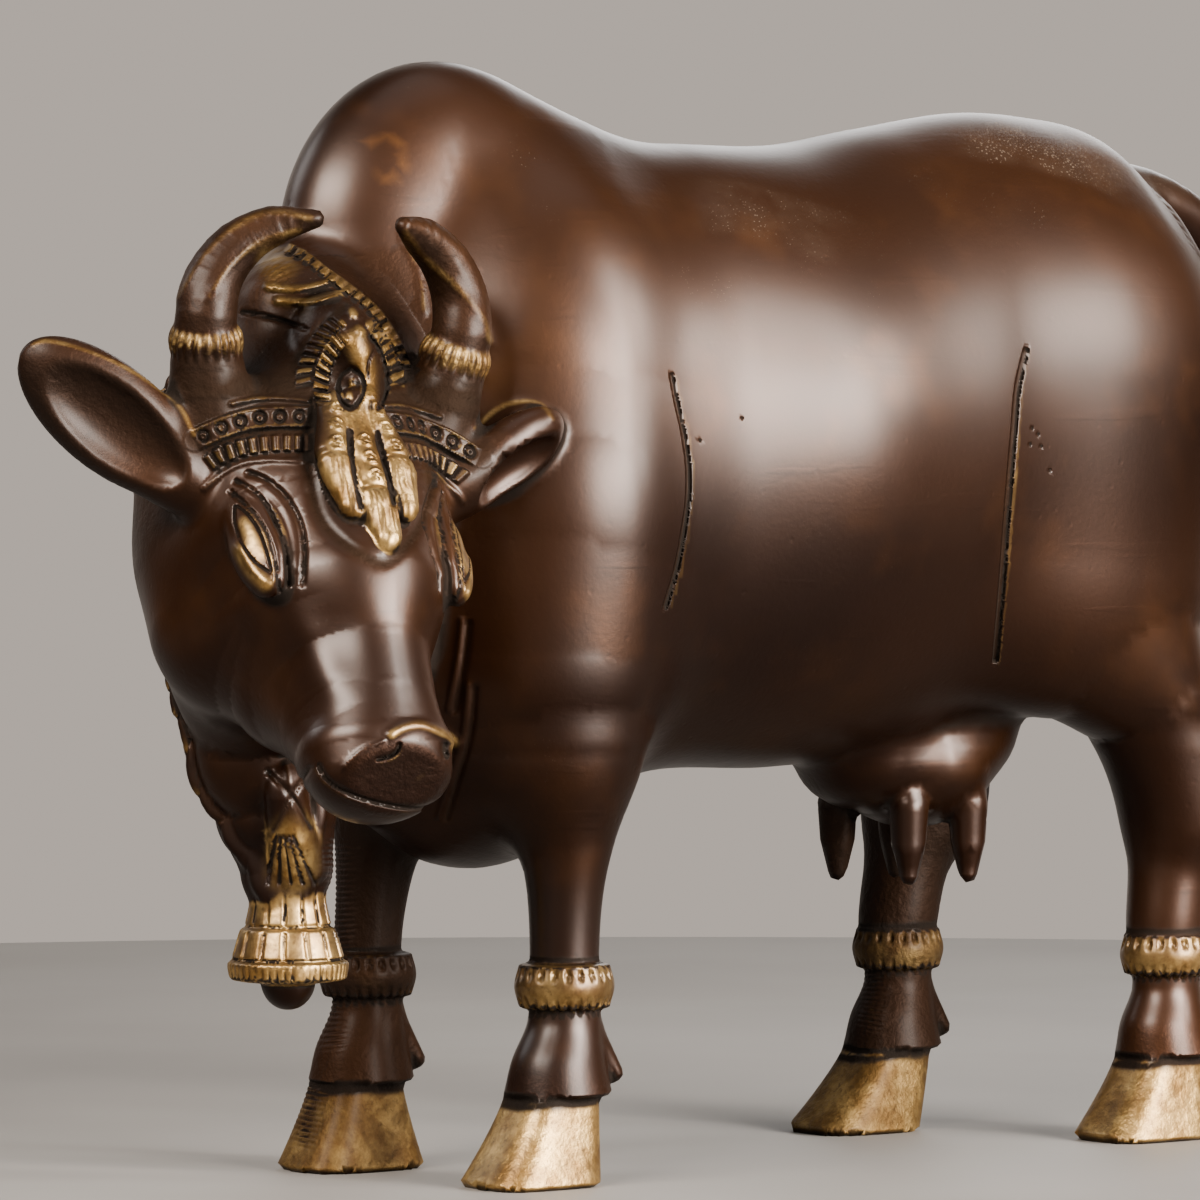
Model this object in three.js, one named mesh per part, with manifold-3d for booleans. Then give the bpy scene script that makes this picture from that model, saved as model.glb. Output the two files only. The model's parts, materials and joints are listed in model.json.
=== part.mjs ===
// A cast brass statue of a humped cow, standing with its head turned to its left and lowered.
// Millimetres, +Z up. The cow faces -X and its left flank faces -Y. The floor is z = 0.
// The statue is one casting, so every form is a distance field and all of them blend into one solid.
import * as THREE from "three";
import { mergeVertices } from "three/addons/utils/BufferGeometryUtils.js";
import Module from "manifold-3d";

// Driving dimensions.
const HUMP_TOP = 198.7;
const RUMP_TOP = 194.8;
const BACK_DIP = 186;
const BELLY = 71.5;
const BRISKET = 56;
const HALF_WIDTH = 41;
const HEAD_TURN = THREE.MathUtils.degToRad(81);
const FACE_PITCH = THREE.MathUtils.degToRad(35);
const HEAD_ROLL = THREE.MathUtils.degToRad(2.5);
const EYES_CENTRE = new THREE.Vector3(-121.1, -43.9, 112.5);
const ANKLET = { low: 30.5, high: 39.5 };
const HOOF_TOP = 17;
// The hooves run on this far under the floor before they are cut off flat.
const BELOW_FLOOR = 4;

// The spacing of the grid the surface is read off, over the head and legs and over the plain body.
const HEAD_CELL = 1.6;
const BODY_CELL = 2.8;
// The number of triangles the surface is then reduced to.
const TRIANGLES = 9400;

const COAT = new THREE.MeshStandardMaterial({
  name: "bronze",
  color: 0x4a2a17,
  roughness: 0.34,
  metalness: 1,
});

// Distance fields

const clamp = THREE.MathUtils.clamp;
const lerp = THREE.MathUtils.lerp;

// The union of two distances, with a fillet about k wide.
function join(a, b, k) {
  const h = Math.max(k - Math.abs(a - b), 0) / k;
  return Math.min(a, b) - (h * h * k) / 4;
}

// What is left of a without b.
function carve(a, b, k) {
  return -join(-a, b, k);
}

// Distance to an ellipsoid with half-axes rx, ry and rz, exact near its surface.
function ellipsoid(x, y, z, rx, ry, rz) {
  const k0 = Math.hypot(x / rx, y / ry, z / rz);
  const k1 = Math.hypot(x / (rx * rx), y / (ry * ry), z / (rz * rz));
  return k1 > 0 ? (k0 * (k0 - 1)) / k1 : -Math.min(rx, ry, rz);
}

// Smooth interpolation of rows of numbers, keyed by their first number.
function profile(rows) {
  const slopes = rows.map((row, i) => {
    const before = rows[Math.max(i - 1, 0)];
    const after = rows[Math.min(i + 1, rows.length - 1)];
    return row.map((value, n) => (after[n] - before[n]) / (after[0] - before[0]));
  });
  const out = new Array(rows[0].length);
  return (key) => {
    let i = 0;
    while (i < rows.length - 2 && key > rows[i + 1][0]) i += 1;
    const [low, high] = [rows[i], rows[i + 1]];
    const span = high[0] - low[0];
    const t = clamp((key - low[0]) / span, 0, 1);
    const t2 = t * t;
    const t3 = t2 * t;
    for (let n = 0; n < out.length; n += 1) {
      out[n] =
        (2 * t3 - 3 * t2 + 1) * low[n] +
        (t3 - 2 * t2 + t) * span * slopes[i][n] +
        (3 * t2 - 2 * t3) * high[n] +
        (t3 - t2) * span * slopes[i + 1][n];
    }
    return out;
  };
}

// A form of elliptical sections along X. Rows are [x, y, z, half-width in Y, half-height in Z].
function loftAlongX(rows, capFront, capBack) {
  const at = profile(rows);
  const [first, last] = [rows[0][0], rows[rows.length - 1][0]];
  return (x, y, z) => {
    const key = clamp(x, first, last);
    const [, cy, cz, ry, rz] = at(key);
    return ellipsoid(x - key, y - cy, z - cz, x < first ? capFront : capBack, ry, rz);
  };
}

// A form of elliptical sections up Z. Rows are [z, x, y, half-length in X, half-width in Y].
function loftAlongZ(rows, capLow, capHigh) {
  const at = profile(rows);
  const [first, last] = [rows[0][0], rows[rows.length - 1][0]];
  return (x, y, z) => {
    const key = clamp(z, first, last);
    const [, cx, cy, rx, ry] = at(key);
    return ellipsoid(x - cx, y - cy, z - key, rx, ry, z < first ? capLow : capHigh);
  };
}

// A limb through ball-like stations [x, y, z, rx, ry, rz]; ry and rz are left out where it is round.
function limb(rows, steps = 1) {
  const stations = rows.map(([x, y, z]) => new THREE.Vector3(x, y, z));
  const curve = new THREE.CatmullRomCurve3(stations, false, "centripetal");
  const last = rows.length - 1;
  const balls = Array.from({ length: last * steps + 1 }, (unused, i) => {
    const t = i / steps;
    const n = Math.min(Math.floor(t), last - 1);
    const point = curve.getPoint(t / last);
    const radius = (row, c) => row[c] ?? row[3];
    const radii = [3, 4, 5].map((c) => lerp(radius(rows[n], c), radius(rows[n + 1], c), t - n));
    return [point.x, point.y, point.z, ...radii];
  });
  return (x, y, z) => {
    let best = Infinity;
    for (let i = 0; i < balls.length - 1; i += 1) {
      const [a, b] = [balls[i], balls[i + 1]];
      const [dx, dy, dz] = [b[0] - a[0], b[1] - a[1], b[2] - a[2]];
      const along = ((x - a[0]) * dx + (y - a[1]) * dy + (z - a[2]) * dz) / (dx * dx + dy * dy + dz * dz);
      const t = clamp(along, 0, 1);
      const d = ellipsoid(
        x - lerp(a[0], b[0], t),
        y - lerp(a[1], b[1], t),
        z - lerp(a[2], b[2], t),
        lerp(a[3], b[3], t),
        lerp(a[4], b[4], t),
        lerp(a[5], b[5], t),
      );
      if (d < best) best = d;
    }
    return best;
  };
}

// Places a field in a turned frame: matrix takes the field's own axes to the statue's.
function placed(field, matrix) {
  const m = matrix.clone().invert().elements;
  return (x, y, z) =>
    field(
      m[0] * x + m[4] * y + m[8] * z + m[12],
      m[1] * x + m[5] * y + m[9] * z + m[13],
      m[2] * x + m[6] * y + m[10] * z + m[14],
    );
}

// A ring of round section: axis is a unit vector through the ring's centre.
function ring([cx, cy, cz], [ax, ay, az], radius, tube) {
  return (x, y, z) => {
    const [dx, dy, dz] = [x - cx, y - cy, z - cz];
    const along = dx * ax + dy * ay + dz * az;
    const across = Math.sqrt(Math.max(dx * dx + dy * dy + dz * dz - along * along, 0));
    return Math.hypot(across - radius, along) - tube;
  };
}

// All forms, each with how widely it blends into the ones before it. A carving is cut away instead.
const FORMS = [];
function add(field, blend) {
  FORMS.push({ field, blend, carved: false });
}
function cut(field, blend) {
  FORMS.push({ field, blend, carved: true });
}

// The distance to all the given forms together.
function combined(forms, x, y, z) {
  let d = 1e3;
  for (const { field, blend, carved } of forms) {
    const one = field(x, y, z);
    d = carved ? carve(d, one, blend) : join(d, one, blend);
  }
  return d;
}

// The torso and its limbs

const torso = loftAlongX(
  [
    [-88, 0, 108, 18, 45],
    [-75, 0, (178 + BRISKET) / 2, 28, (178 - BRISKET) / 2],
    [-60, 0, (184 + BRISKET) / 2, 35, (184 - BRISKET) / 2],
    [-45, 0, 125.5, 36.5, 59],
    [-28, 0, (BACK_DIP + BELLY) / 2, 39, (BACK_DIP - BELLY) / 2],
    [0, 0, 129.2, HALF_WIDTH, 57.6],
    [23, 0, 132.5, HALF_WIDTH, 58.5],
    [45, 0, 137.5, 38.5, RUMP_TOP - 137.5],
    [60, 0, 140.5, 37, RUMP_TOP - 140.5],
    [75, 0, 143, 33.5, 49.5],
    [88, 0, 144, 27, 40],
  ],
  12,
  12,
);

const hump = limb([
  [-84, 2, 156, 20, 14, 26],
  [-74, 0, 164, 32, 18, HUMP_TOP - 164],
  [-60, 0, 158, 26, 20, 34],
]);

const neck = limb([
  [-76, 0, 140, 28, 21, 30],
  [-94, -2, 134, 21, 19, 28],
  [-108, -11, 129, 21.5, 20, 31],
]);

// Where the neck runs into the back of the head.
const nape = limb([
  [-108, -9, 128, 20, 18, 26],
  [-115, -23, 122, 20, 16, 24],
]);

// The fold of skin under the throat, down to the bell.
const dewlap = limb([
  [-112, -2, 122, 24, 17, 26],
  [-111.5, -2, 92, 18, 13, 20],
  [-110.5, 0, 78, 13.5, 10, 15],
  [-108.5, 0, 67, 9.5, 7.5, 10],
  [-106.5, 0, 57, 6.5, 6, 8],
]);

const shoulder = (side) =>
  limb([
    [-59, side * 18, 139, 20, 16, 31],
    [-62, side * 21.5, 118, 19, 16.5, 26],
    [-64, side * 23, 92, 16, 13.5, 18],
    [-64, side * 23, 76, 12, 11, 12],
  ]);

const thigh = (side, stifle, hock) =>
  limb([
    [62, side * 18, 140, 33, 19, 34],
    [stifle, side * 21, 106, 31, 17.5, 26],
    [stifle + 17, side * 22.5, 84, 13.5, 13, 13],
    [hock, side * 23.5, 62, 9.5, 9, 11],
  ]);

add(torso, 1);
add(hump, 16);
add(neck, 9);
add(nape, 4);
add(dewlap, 8);
add(shoulder(-1), 17);
add(shoulder(1), 17);
add(thigh(-1, 58, 84.5), 12);
add(thigh(1, 42, 58), 12);

// The legs. Each is given along X by its toe, the top of its hoof, its ankle and the top of its shank.
const LEG_SPREAD = 22.5;
const LEGS = [
  { side: -1, toe: -70.3, hoofTop: -65.1, hoofLength: 12, ankle: -62.5, top: -62, topHeight: 64, girth: 1 },
  { side: 1, toe: -77.3, hoofTop: -76, hoofLength: 13.2, ankle: -73.5, top: -70, topHeight: 64, girth: 1 },
  { side: -1, toe: 74, hoofTop: 79, hoofLength: 13.4, ankle: 80.5, top: 84.5, topHeight: 60, girth: 1.25 },
  { side: 1, toe: 39.7, hoofTop: 49, hoofLength: 12.8, ankle: 51.5, top: 58, topHeight: 60, girth: 1.25 },
];

// A hoof has flattened fronts and sides that meet in edges, and a flat top under the pastern.
function hoof({ toe, hoofTop, hoofLength }, y) {
  const SQUARENESS = 3.4;
  return (x, py, z) => {
    const t = clamp(z / HOOF_TOP, 0, 1);
    const flare = (1 - t) ** 1.25;
    const rx = lerp(7.2, hoofLength, flare);
    const ry = lerp(7, 9.6, flare);
    const cx = lerp(hoofTop, toe, flare);
    const u = Math.abs((x - cx) / rx) ** SQUARENESS + Math.abs((py - y) / ry) ** SQUARENESS;
    const wall = (u ** (1 / SQUARENESS) - 1) * Math.min(rx, ry);
    return carve(carve(wall, HOOF_TOP + 0.4 - z, 0.8), z + BELOW_FLOOR, 0.1);
  };
}

for (const one of LEGS) {
  const { side, hoofTop, ankle, top, topHeight, girth } = one;
  const y = side * LEG_SPREAD;
  const shank = loftAlongZ(
    [
      [HOOF_TOP - 2, hoofTop + 0.6, y, 8, 7.6],
      [22, lerp(hoofTop, ankle, 0.5), y, 7.6, 7.2],
      [29, ankle, y, 6.5, 6.1],
      [40, ankle, y, 6.2 * girth, 6 * girth],
      [52, lerp(ankle, top, 0.4), y, 6.9 * girth, 6.8 * girth],
      [topHeight, top, y, 9.5 * girth, 9.2 * girth],
      [topHeight + 14, top, y, 13, 12],
    ],
    1,
    6,
  );
  const anklet = loftAlongZ(
    [
      [ANKLET.low + 1, ankle, y, 8.2, 7.9],
      [(ANKLET.low + ANKLET.high) / 2, ankle, y, 9.4, 9],
      [ANKLET.high - 1, ankle, y, 8.2, 7.9],
    ],
    1,
    1,
  );
  const dewclaw = limb([
    [ankle + 4.5, y, 27, 2.6, 4.2, 3],
    [ankle + 8.8, y, 19.4, 2.4, 4.6, 2.2],
  ]);
  add(shank, 5);
  add(anklet, 0.6);
  add(hoof(one, y), 0.5);
  add(dewclaw, 1.2);
}

const udder = limb([
  [24, 0, 73, 12, 14, 10],
  [36, 0, 72, 16, 15.5, 12.5],
  [46, 0, 80, 12, 14, 14],
]);
add(udder, 5);
const teat = (x, y) =>
  limb([
    [x, y, 64, 3.8],
    [x, y, 57, 3.3],
    [x, y, 51, 1.8],
  ]);
for (const x of [27, 41.5]) {
  for (const y of [-10, 11]) {
    add(teat(x, y), 1.5);
  }
}

const tail = limb(
  [
    [84, 0, 181, 7],
    [98, 0, 179, 6.3],
    [110, 0, 173, 5.6],
    [115, -1, 160, 5],
    [114.5, -2, 138, 4.5],
    [112, -4, 112, 4.3],
    [106, -9, 86, 5],
    [100, -14, 66, 5.6],
    [97, -17, 50, 2.4],
  ],
  3,
);
add(tail, 3);

// A scored line behind each shoulder and one in front of each thigh: [x, height, half-width of the cut].
const SHOULDER_LINE = [
  [-51, 142, 0.5],
  [-47, 126, 1.4],
  [-47.5, 117, 1.5],
  [-52, 103, 1.1],
  [-56.5, 86, 0.4],
];
const FLANK_LINE = [
  [30.5, 149, 0.7],
  [28.5, 135, 1.7],
  [26.5, 120, 1.5],
  [24.5, 103, 1.1],
  [24, 90, 0.4],
];
const BODY = [...FORMS];
for (const line of [SHOULDER_LINE, FLANK_LINE]) {
  for (const side of [-1, 1]) {
    const onSkin = line.map(([x, z, width]) => {
      let [inner, outer] = [10, 60];
      for (let n = 0; n < 24; n += 1) {
        const y = (inner + outer) / 2;
        if (combined(BODY, x, side * y, z) < 0) {
          inner = y;
        } else {
          outer = y;
        }
      }
      return [x, side * inner, z, width, 1.5, 2];
    });
    cut(limb(onSkin, 3), 0.6);
  }
}

// The head, in its own frame: x runs down the face from between the eyes, y to the cow's left,
// and z out of the forehead.

const heading = new THREE.Vector3(-Math.cos(HEAD_TURN), -Math.sin(HEAD_TURN), 0);
const headLeft = new THREE.Vector3(-heading.y, heading.x, 0).applyAxisAngle(heading, -HEAD_ROLL);
const headUp = new THREE.Vector3().crossVectors(heading, headLeft);
const faceAxis = heading.clone().multiplyScalar(Math.sin(FACE_PITCH));
faceAxis.addScaledVector(headUp, -Math.cos(FACE_PITCH));
const faceOut = new THREE.Vector3().crossVectors(faceAxis, headLeft);
const HEAD_FRAME = new THREE.Matrix4().makeBasis(faceAxis, headLeft, faceOut).setPosition(EYES_CENTRE);
const SIDES = [-1, 1];

const skull = limb([
  [-24, 0, -12, 14, 22, 18],
  [-11, 0, -13, 17, 23, 20],
  [3, 0, -13, 15, 18.5, 18.5],
]);

const jaw = (side) =>
  limb([
    [-16, side * 8, -29, 18, 16.5, 16.5],
    [-5, side * 8, -30, 18, 16.5, 17],
    [10, side * 5, -25, 13, 11, 12],
    [22, side * 3, -18, 10, 9, 9.5],
    [31, side * 3, -17, 7, 7, 6.5],
  ]);

const snout = limb([
  [6, 0, -10, 13, 12, 14.5],
  [17, 0, -10.5, 10, 9.4, 12.5],
  [26, 0, -11, 9, 10.2, 11.4],
  [34, 0, -11, 8, 12.2, 10],
  [38, 0, -11.5, 6.5, 11.8, 9],
]);

const chin = limb([
  [26, 0, -18, 9, 7.5, 6],
  [37.5, 0, -16, 5, 7.5, 4.5],
]);

// The muzzle ends in a flat pad that faces forward and down.
const PAD = { x: 39.8, z: -4.5, normalX: 0.87, normalZ: 0.5 };
const beyondPad = (x, y, z) => {
  const past = (x - PAD.x) * PAD.normalX + (z - PAD.z) * PAD.normalZ;
  return Math.max(-past, Math.hypot(x - 44, y, z + 8) - 24);
};

const horn = (side) =>
  limb(
    [
      [-27, 1 + side * 20.5, -4, 8.5],
      [-36.8, 1 + side * 23.5, 6, 6],
      [-39.3, 1 + side * 24, 9, 5.8],
      [-44.6, 1.5 + side * 23.3, 12, 5.2],
      [-49.2, 1.8 + side * 19.7, 16, 4.4],
      [-51, 1.8 + side * 14.2, 20, 3.4],
      [-50, 2 + side * 8.3, 24, 1.6],
    ],
    2,
  );
const HORN_BAND = { radius: 5.4, tube: 2.2 };
const hornBand = (side) =>
  ring([-36.4, 1 + side * 23.4, 5.6], [-0.58, side * 0.16, 0.8], HORN_BAND.radius, HORN_BAND.tube);

// A leaf-shaped ear, hollow on its front face. Its own x runs out to the tip.
// The left one is turned edge on.
const EARS = [
  { root: [-19, -25, -9], tip: [-37.5, -53, 0], front: [0.6, -0.42, 0.6], halfWidth: 9 },
  { root: [-18, 26, -6], tip: [-28, 44.5, 2], front: [0.72, 0.5, 0.3], halfWidth: 7 },
];
function ear({ root, tip, front, halfWidth }) {
  const foot = new THREE.Vector3(...root);
  const along = new THREE.Vector3(...tip).sub(foot);
  const length = along.length();
  along.normalize();
  const out = new THREE.Vector3(...front);
  out.addScaledVector(along, -out.dot(along)).normalize();
  const across = new THREE.Vector3().crossVectors(out, along);
  const frame = new THREE.Matrix4().makeBasis(along, across, out).setPosition(foot);
  const leaf = (x, y, z) => {
    const shell = ellipsoid(x - length * 0.46, y, z, length * 0.54, halfWidth, 5);
    const hollow = ellipsoid(x - length * 0.45, y, z - 5.2, length * 0.43, halfWidth - 2.4, 4.4);
    const stalk = ellipsoid(x, y, z, 9, 6, 5);
    return join(carve(shell, hollow, 0.8), stalk, 3);
  };
  return placed(leaf, frame);
}

// A brass almond of an eye under two raised brows.
const eye = (side) => {
  const along = new THREE.Vector3(1, side * -0.08, 0.02).normalize();
  const front = new THREE.Vector3(0, side * 0.82, 0.57);
  front.addScaledVector(along, -front.dot(along)).normalize();
  const across = new THREE.Vector3().crossVectors(front, along);
  const frame = new THREE.Matrix4().makeBasis(along, across, front).setPosition(0, side * 17.9, -2.6);
  return placed((x, y, z) => ellipsoid(x, y, z, 9, 3.9, 2.2), frame);
};
const BROWS = [
  [
    [-16.5, 18.5, -2, 0.8],
    [-10, 14.2, 3.6, 1.4],
    [-1, 12.6, 5, 1.5],
    [11, 13.6, 0.6, 0.8],
  ],
  [
    [-13.5, 20.5, -3, 0.7],
    [-8, 18, 1, 1.2],
    [0, 16.6, 1.8, 1.3],
    [11.5, 15.5, -2.4, 0.7],
  ],
];
const brow = (rows, side) =>
  limb(
    rows.map(([x, y, z, radius]) => [x, side * y, z, radius]),
    3,
  );

const headForms = FORMS.length;
add(skull, 8);
for (const side of SIDES) add(jaw(side), 9);
add(snout, 9);
add(chin, 3);
const bareHead = FORMS.slice(headForms).map((form) => ({ ...form }));
cut(beyondPad, 1);
for (const one of EARS) add(ear(one), 2.5);
for (const side of SIDES) {
  add(horn(side), 3.5);
  add(hornBand(side), 0.6);
  add(eye(side), 0.8);
  for (const rows of BROWS) add(brow(rows, side), 0.8);
  const nostril = limb([
    [37.6, 0.5 + side * 4.4, -1, 1],
    [39.2, 0.5 + side * 7, -4.4, 1.5],
  ]);
  cut(nostril, 0.8);
}
const MOUTH = [
  [32, -12, -15, 0.7],
  [38, -11, -13.5, 0.9],
  [43, -5, -12, 0.9],
  [43, 5, -12, 0.9],
  [38, 11, -13.5, 0.9],
  [32, 12, -15, 0.7],
];
cut(limb(MOUTH, 3), 0.6);

// The headband: two rolls that follow the forehead and bend back towards the ears.
const HEADBAND = { halfWidth: 2.6, bend: 0.012 };
const ROLLS = [
  { x: -25, raised: 1.6 },
  { x: -18.5, raised: 1.2 },
];
for (const { x, raised } of ROLLS) {
  const roll = (px, y, z) => {
    const across = Math.abs(px - x - HEADBAND.bend * y * y);
    return carve(combined(bareHead, px, y, z) - raised, HEADBAND.halfWidth - across, 1.2);
  };
  add(roll, 0.5);
}

// The crest on the poll, the boss on its front and the three-lobed pendant below it.
const CREST = { place: [-36, 2.5, 4], radii: [12.5, 7.4, 9.5] };
const CREST_BOSS = { place: [-35, 1.5, 12.5], radii: [5.5, 3.6, 3.2] };
const mound = ({ place: [cx, cy, cz], radii }) => (x, y, z) => ellipsoid(x - cx, y - cy, z - cz, ...radii);
add(mound(CREST), 1.5);
add(mound(CREST_BOSS), 0.6);
const LOBES = [
  { y: -6.2, foot: -3 },
  { y: 5.4, foot: -3 },
  { y: -0.6, foot: 3.5 },
];
for (const { y, foot } of LOBES) {
  const lobe = limb([
    [-23, y * 0.55, 8.4, 2.2, 2.2, 2.6],
    [-12, y, 8.6, 3, 2.7, 2.6],
    [foot, y, 7.6, 3.4, 3.2, 2.8],
  ]);
  add(lobe, 0.5);
}
for (const form of FORMS.slice(headForms)) {
  form.field = placed(form.field, HEAD_FRAME);
}

// The garland round the neck: a ribbed band with a beaded edge, in an upright plane between neck and head.
const GARLAND = { turn: THREE.MathUtils.degToRad(37), away: -66, halfWidth: 4.6, raised: 1.8 };
const garlandNeck = [
  { field: neck, blend: 1, carved: false },
  { field: dewlap, blend: 8, carved: false },
];
const garland = (x, y, z) => {
  const off = x * Math.sin(GARLAND.turn) + y * Math.cos(GARLAND.turn) - GARLAND.away;
  return carve(combined(garlandNeck, x, y, z) - GARLAND.raised, GARLAND.halfWidth - Math.abs(off), 1);
};
add(garland, 0.6);

// The tassel at its foot, and the bell with its clapper.
const tassel = limb([
  [-112.5, -9, 70, 4, 3.2, 5],
  [-110, -7, 62, 4.4, 3.6, 4],
  [-107, -4, 56, 5.4, 4.6, 3],
]);
const BELL = { x: -106, y: 0, top: 54.5, rim: 37 };
const CLAPPER = { z: 36.5, radius: 4.8, halfHeight: 5.2 };
const bell = loftAlongZ(
  [
    [BELL.rim, BELL.x, BELL.y, 10.3, 10.3],
    [39.5, BELL.x, BELL.y, 10.6, 10.6],
    [40.5, BELL.x, BELL.y, 9.9, 9.9],
    [45.4, BELL.x, BELL.y, 8.4, 8.4],
    [46.4, BELL.x, BELL.y, 7.6, 7.6],
    [53, BELL.x, BELL.y, 6, 6],
    [BELL.top + 1, BELL.x, BELL.y, 4.5, 4.5],
  ],
  1,
  2,
);
const clapper = mound({
  place: [BELL.x, BELL.y, CLAPPER.z],
  radii: [CLAPPER.radius, CLAPPER.radius, CLAPPER.halfHeight],
});
add(tassel, 1.2);
add(bell, 1.2);
add(clapper, 0.5);

// The places of a grid's planes along one axis: [end, spacing] for each stretch from low.
function planes(low, stretches) {
  const places = [low];
  for (const [end, spacing] of stretches) {
    const start = places[places.length - 1];
    const steps = Math.ceil((end - start) / spacing);
    for (let n = 1; n <= steps; n += 1) places.push(lerp(start, end, n / steps));
  }
  return places;
}

// The surface of the forms as triangles: six tetrahedra in each cell of a grid.
// Blocks of the grid far from the surface are skipped, and so are forms that do not reach a block.
function surfaceOf(forms, [xs, ys, zs]) {
  const [nx, ny, nz] = [xs.length, ys.length, zs.length];
  const values = new Float32Array(nx * ny * nz);
  const at = (i, j, k) => (k * ny + j) * nx + i;
  const BLOCK = 5;
  const starts = (count) => Array.from({ length: Math.ceil(count / BLOCK) }, (unused, n) => n * BLOCK);
  for (const k0 of starts(nz)) {
    for (const j0 of starts(ny)) {
      for (const i0 of starts(nx)) {
        const [i1, j1, k1] = [Math.min(i0 + BLOCK, nx), Math.min(j0 + BLOCK, ny), Math.min(k0 + BLOCK, nz)];
        const [x0, y0, z0, x1, y1, z1] = [xs[i0], ys[j0], zs[k0], xs[i1 - 1], ys[j1 - 1], zs[k1 - 1]];
        const centre = [(x0 + x1) / 2, (y0 + y1) / 2, (z0 + z1) / 2];
        const reach = Math.hypot(x1 - x0, y1 - y0, z1 - z0) / 2;
        const there = combined(forms, ...centre);
        const far = Math.abs(there) > reach * 1.8 + 3;
        const reaching = ({ field, blend }) => field(...centre) < reach * 3 + blend + 3;
        const near = far ? [] : forms.filter(reaching);
        for (let k = k0; k < k1; k += 1) {
          for (let j = j0; j < j1; j += 1) {
            for (let i = i0; i < i1; i += 1) {
              values[at(i, j, k)] = far ? there : combined(near, xs[i], ys[j], zs[k]);
            }
          }
        }
      }
    }
  }
  const positions = [];
  const triangles = [];
  const onEdge = new Map();
  const total = values.length;
  const crossing = (a, b) => {
    const key = a < b ? a * total + b : b * total + a;
    let found = onEdge.get(key);
    if (found === undefined) {
      const t = clamp(values[a] / (values[a] - values[b]), 0.03, 0.97);
      const [p, q] = [a, b].map((n) => [
        xs[n % nx],
        ys[Math.floor(n / nx) % ny],
        zs[Math.floor(n / (nx * ny))],
      ]);
      found = positions.length / 3;
      positions.push(lerp(p[0], q[0], t), lerp(p[1], q[1], t), lerp(p[2], q[2], t));
      onEdge.set(key, found);
    }
    return found;
  };
  // The six ways from a cell's low corner to its high corner along the axes.
  const steps = [1, nx, nx * ny];
  const ways = [
    [0, 1, 2],
    [1, 2, 0],
    [2, 0, 1],
    [0, 2, 1],
    [2, 1, 0],
    [1, 0, 2],
  ];
  const emit = (a, b, c, turned) => triangles.push(a, turned ? c : b, turned ? b : c);
  for (let k = 0; k < nz - 1; k += 1) {
    for (let j = 0; j < ny - 1; j += 1) {
      for (let i = 0; i < nx - 1; i += 1) {
        const start = at(i, j, k);
        const firstInside = values[start] < 0;
        let mixed = false;
        for (let c = 1; c < 8 && !mixed; c += 1) {
          const corner = start + (c & 1) * steps[0] + ((c >> 1) & 1) * steps[1] + (c >> 2) * steps[2];
          mixed = values[corner] < 0 !== firstInside;
        }
        if (!mixed) continue;
        ways.forEach((way, w) => {
          const ends = [start];
          way.forEach((axis, n) => ends.push(ends[n] + steps[axis]));
          const inside = [0, 1, 2, 3].filter((n) => values[ends[n]] < 0);
          const outside = [0, 1, 2, 3].filter((n) => values[ends[n]] >= 0);
          // Whether the listed corners come in an odd order, which turns the triangle round.
          const order = [...inside, ...outside];
          let swaps = w < 3 ? 0 : 1;
          order.forEach((later, n) => {
            swaps += order.slice(0, n).filter((earlier) => earlier > later).length;
          });
          const turned = swaps % 2 === 1;
          const v = (a, b) => crossing(ends[a], ends[b]);
          if (inside.length === 1) {
            const [a] = inside;
            emit(v(a, outside[0]), v(a, outside[1]), v(a, outside[2]), turned);
          } else if (inside.length === 3) {
            const [b] = outside;
            emit(v(inside[0], b), v(inside[1], b), v(inside[2], b), turned);
          } else if (inside.length === 2) {
            const [a, b] = inside;
            const [c, d] = outside;
            emit(v(a, c), v(a, d), v(b, d), turned);
            emit(v(a, c), v(b, d), v(b, c), turned);
          }
        });
      }
    }
  }
  return { positions: new Float64Array(positions), triangles: new Uint32Array(triangles) };
}

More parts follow.
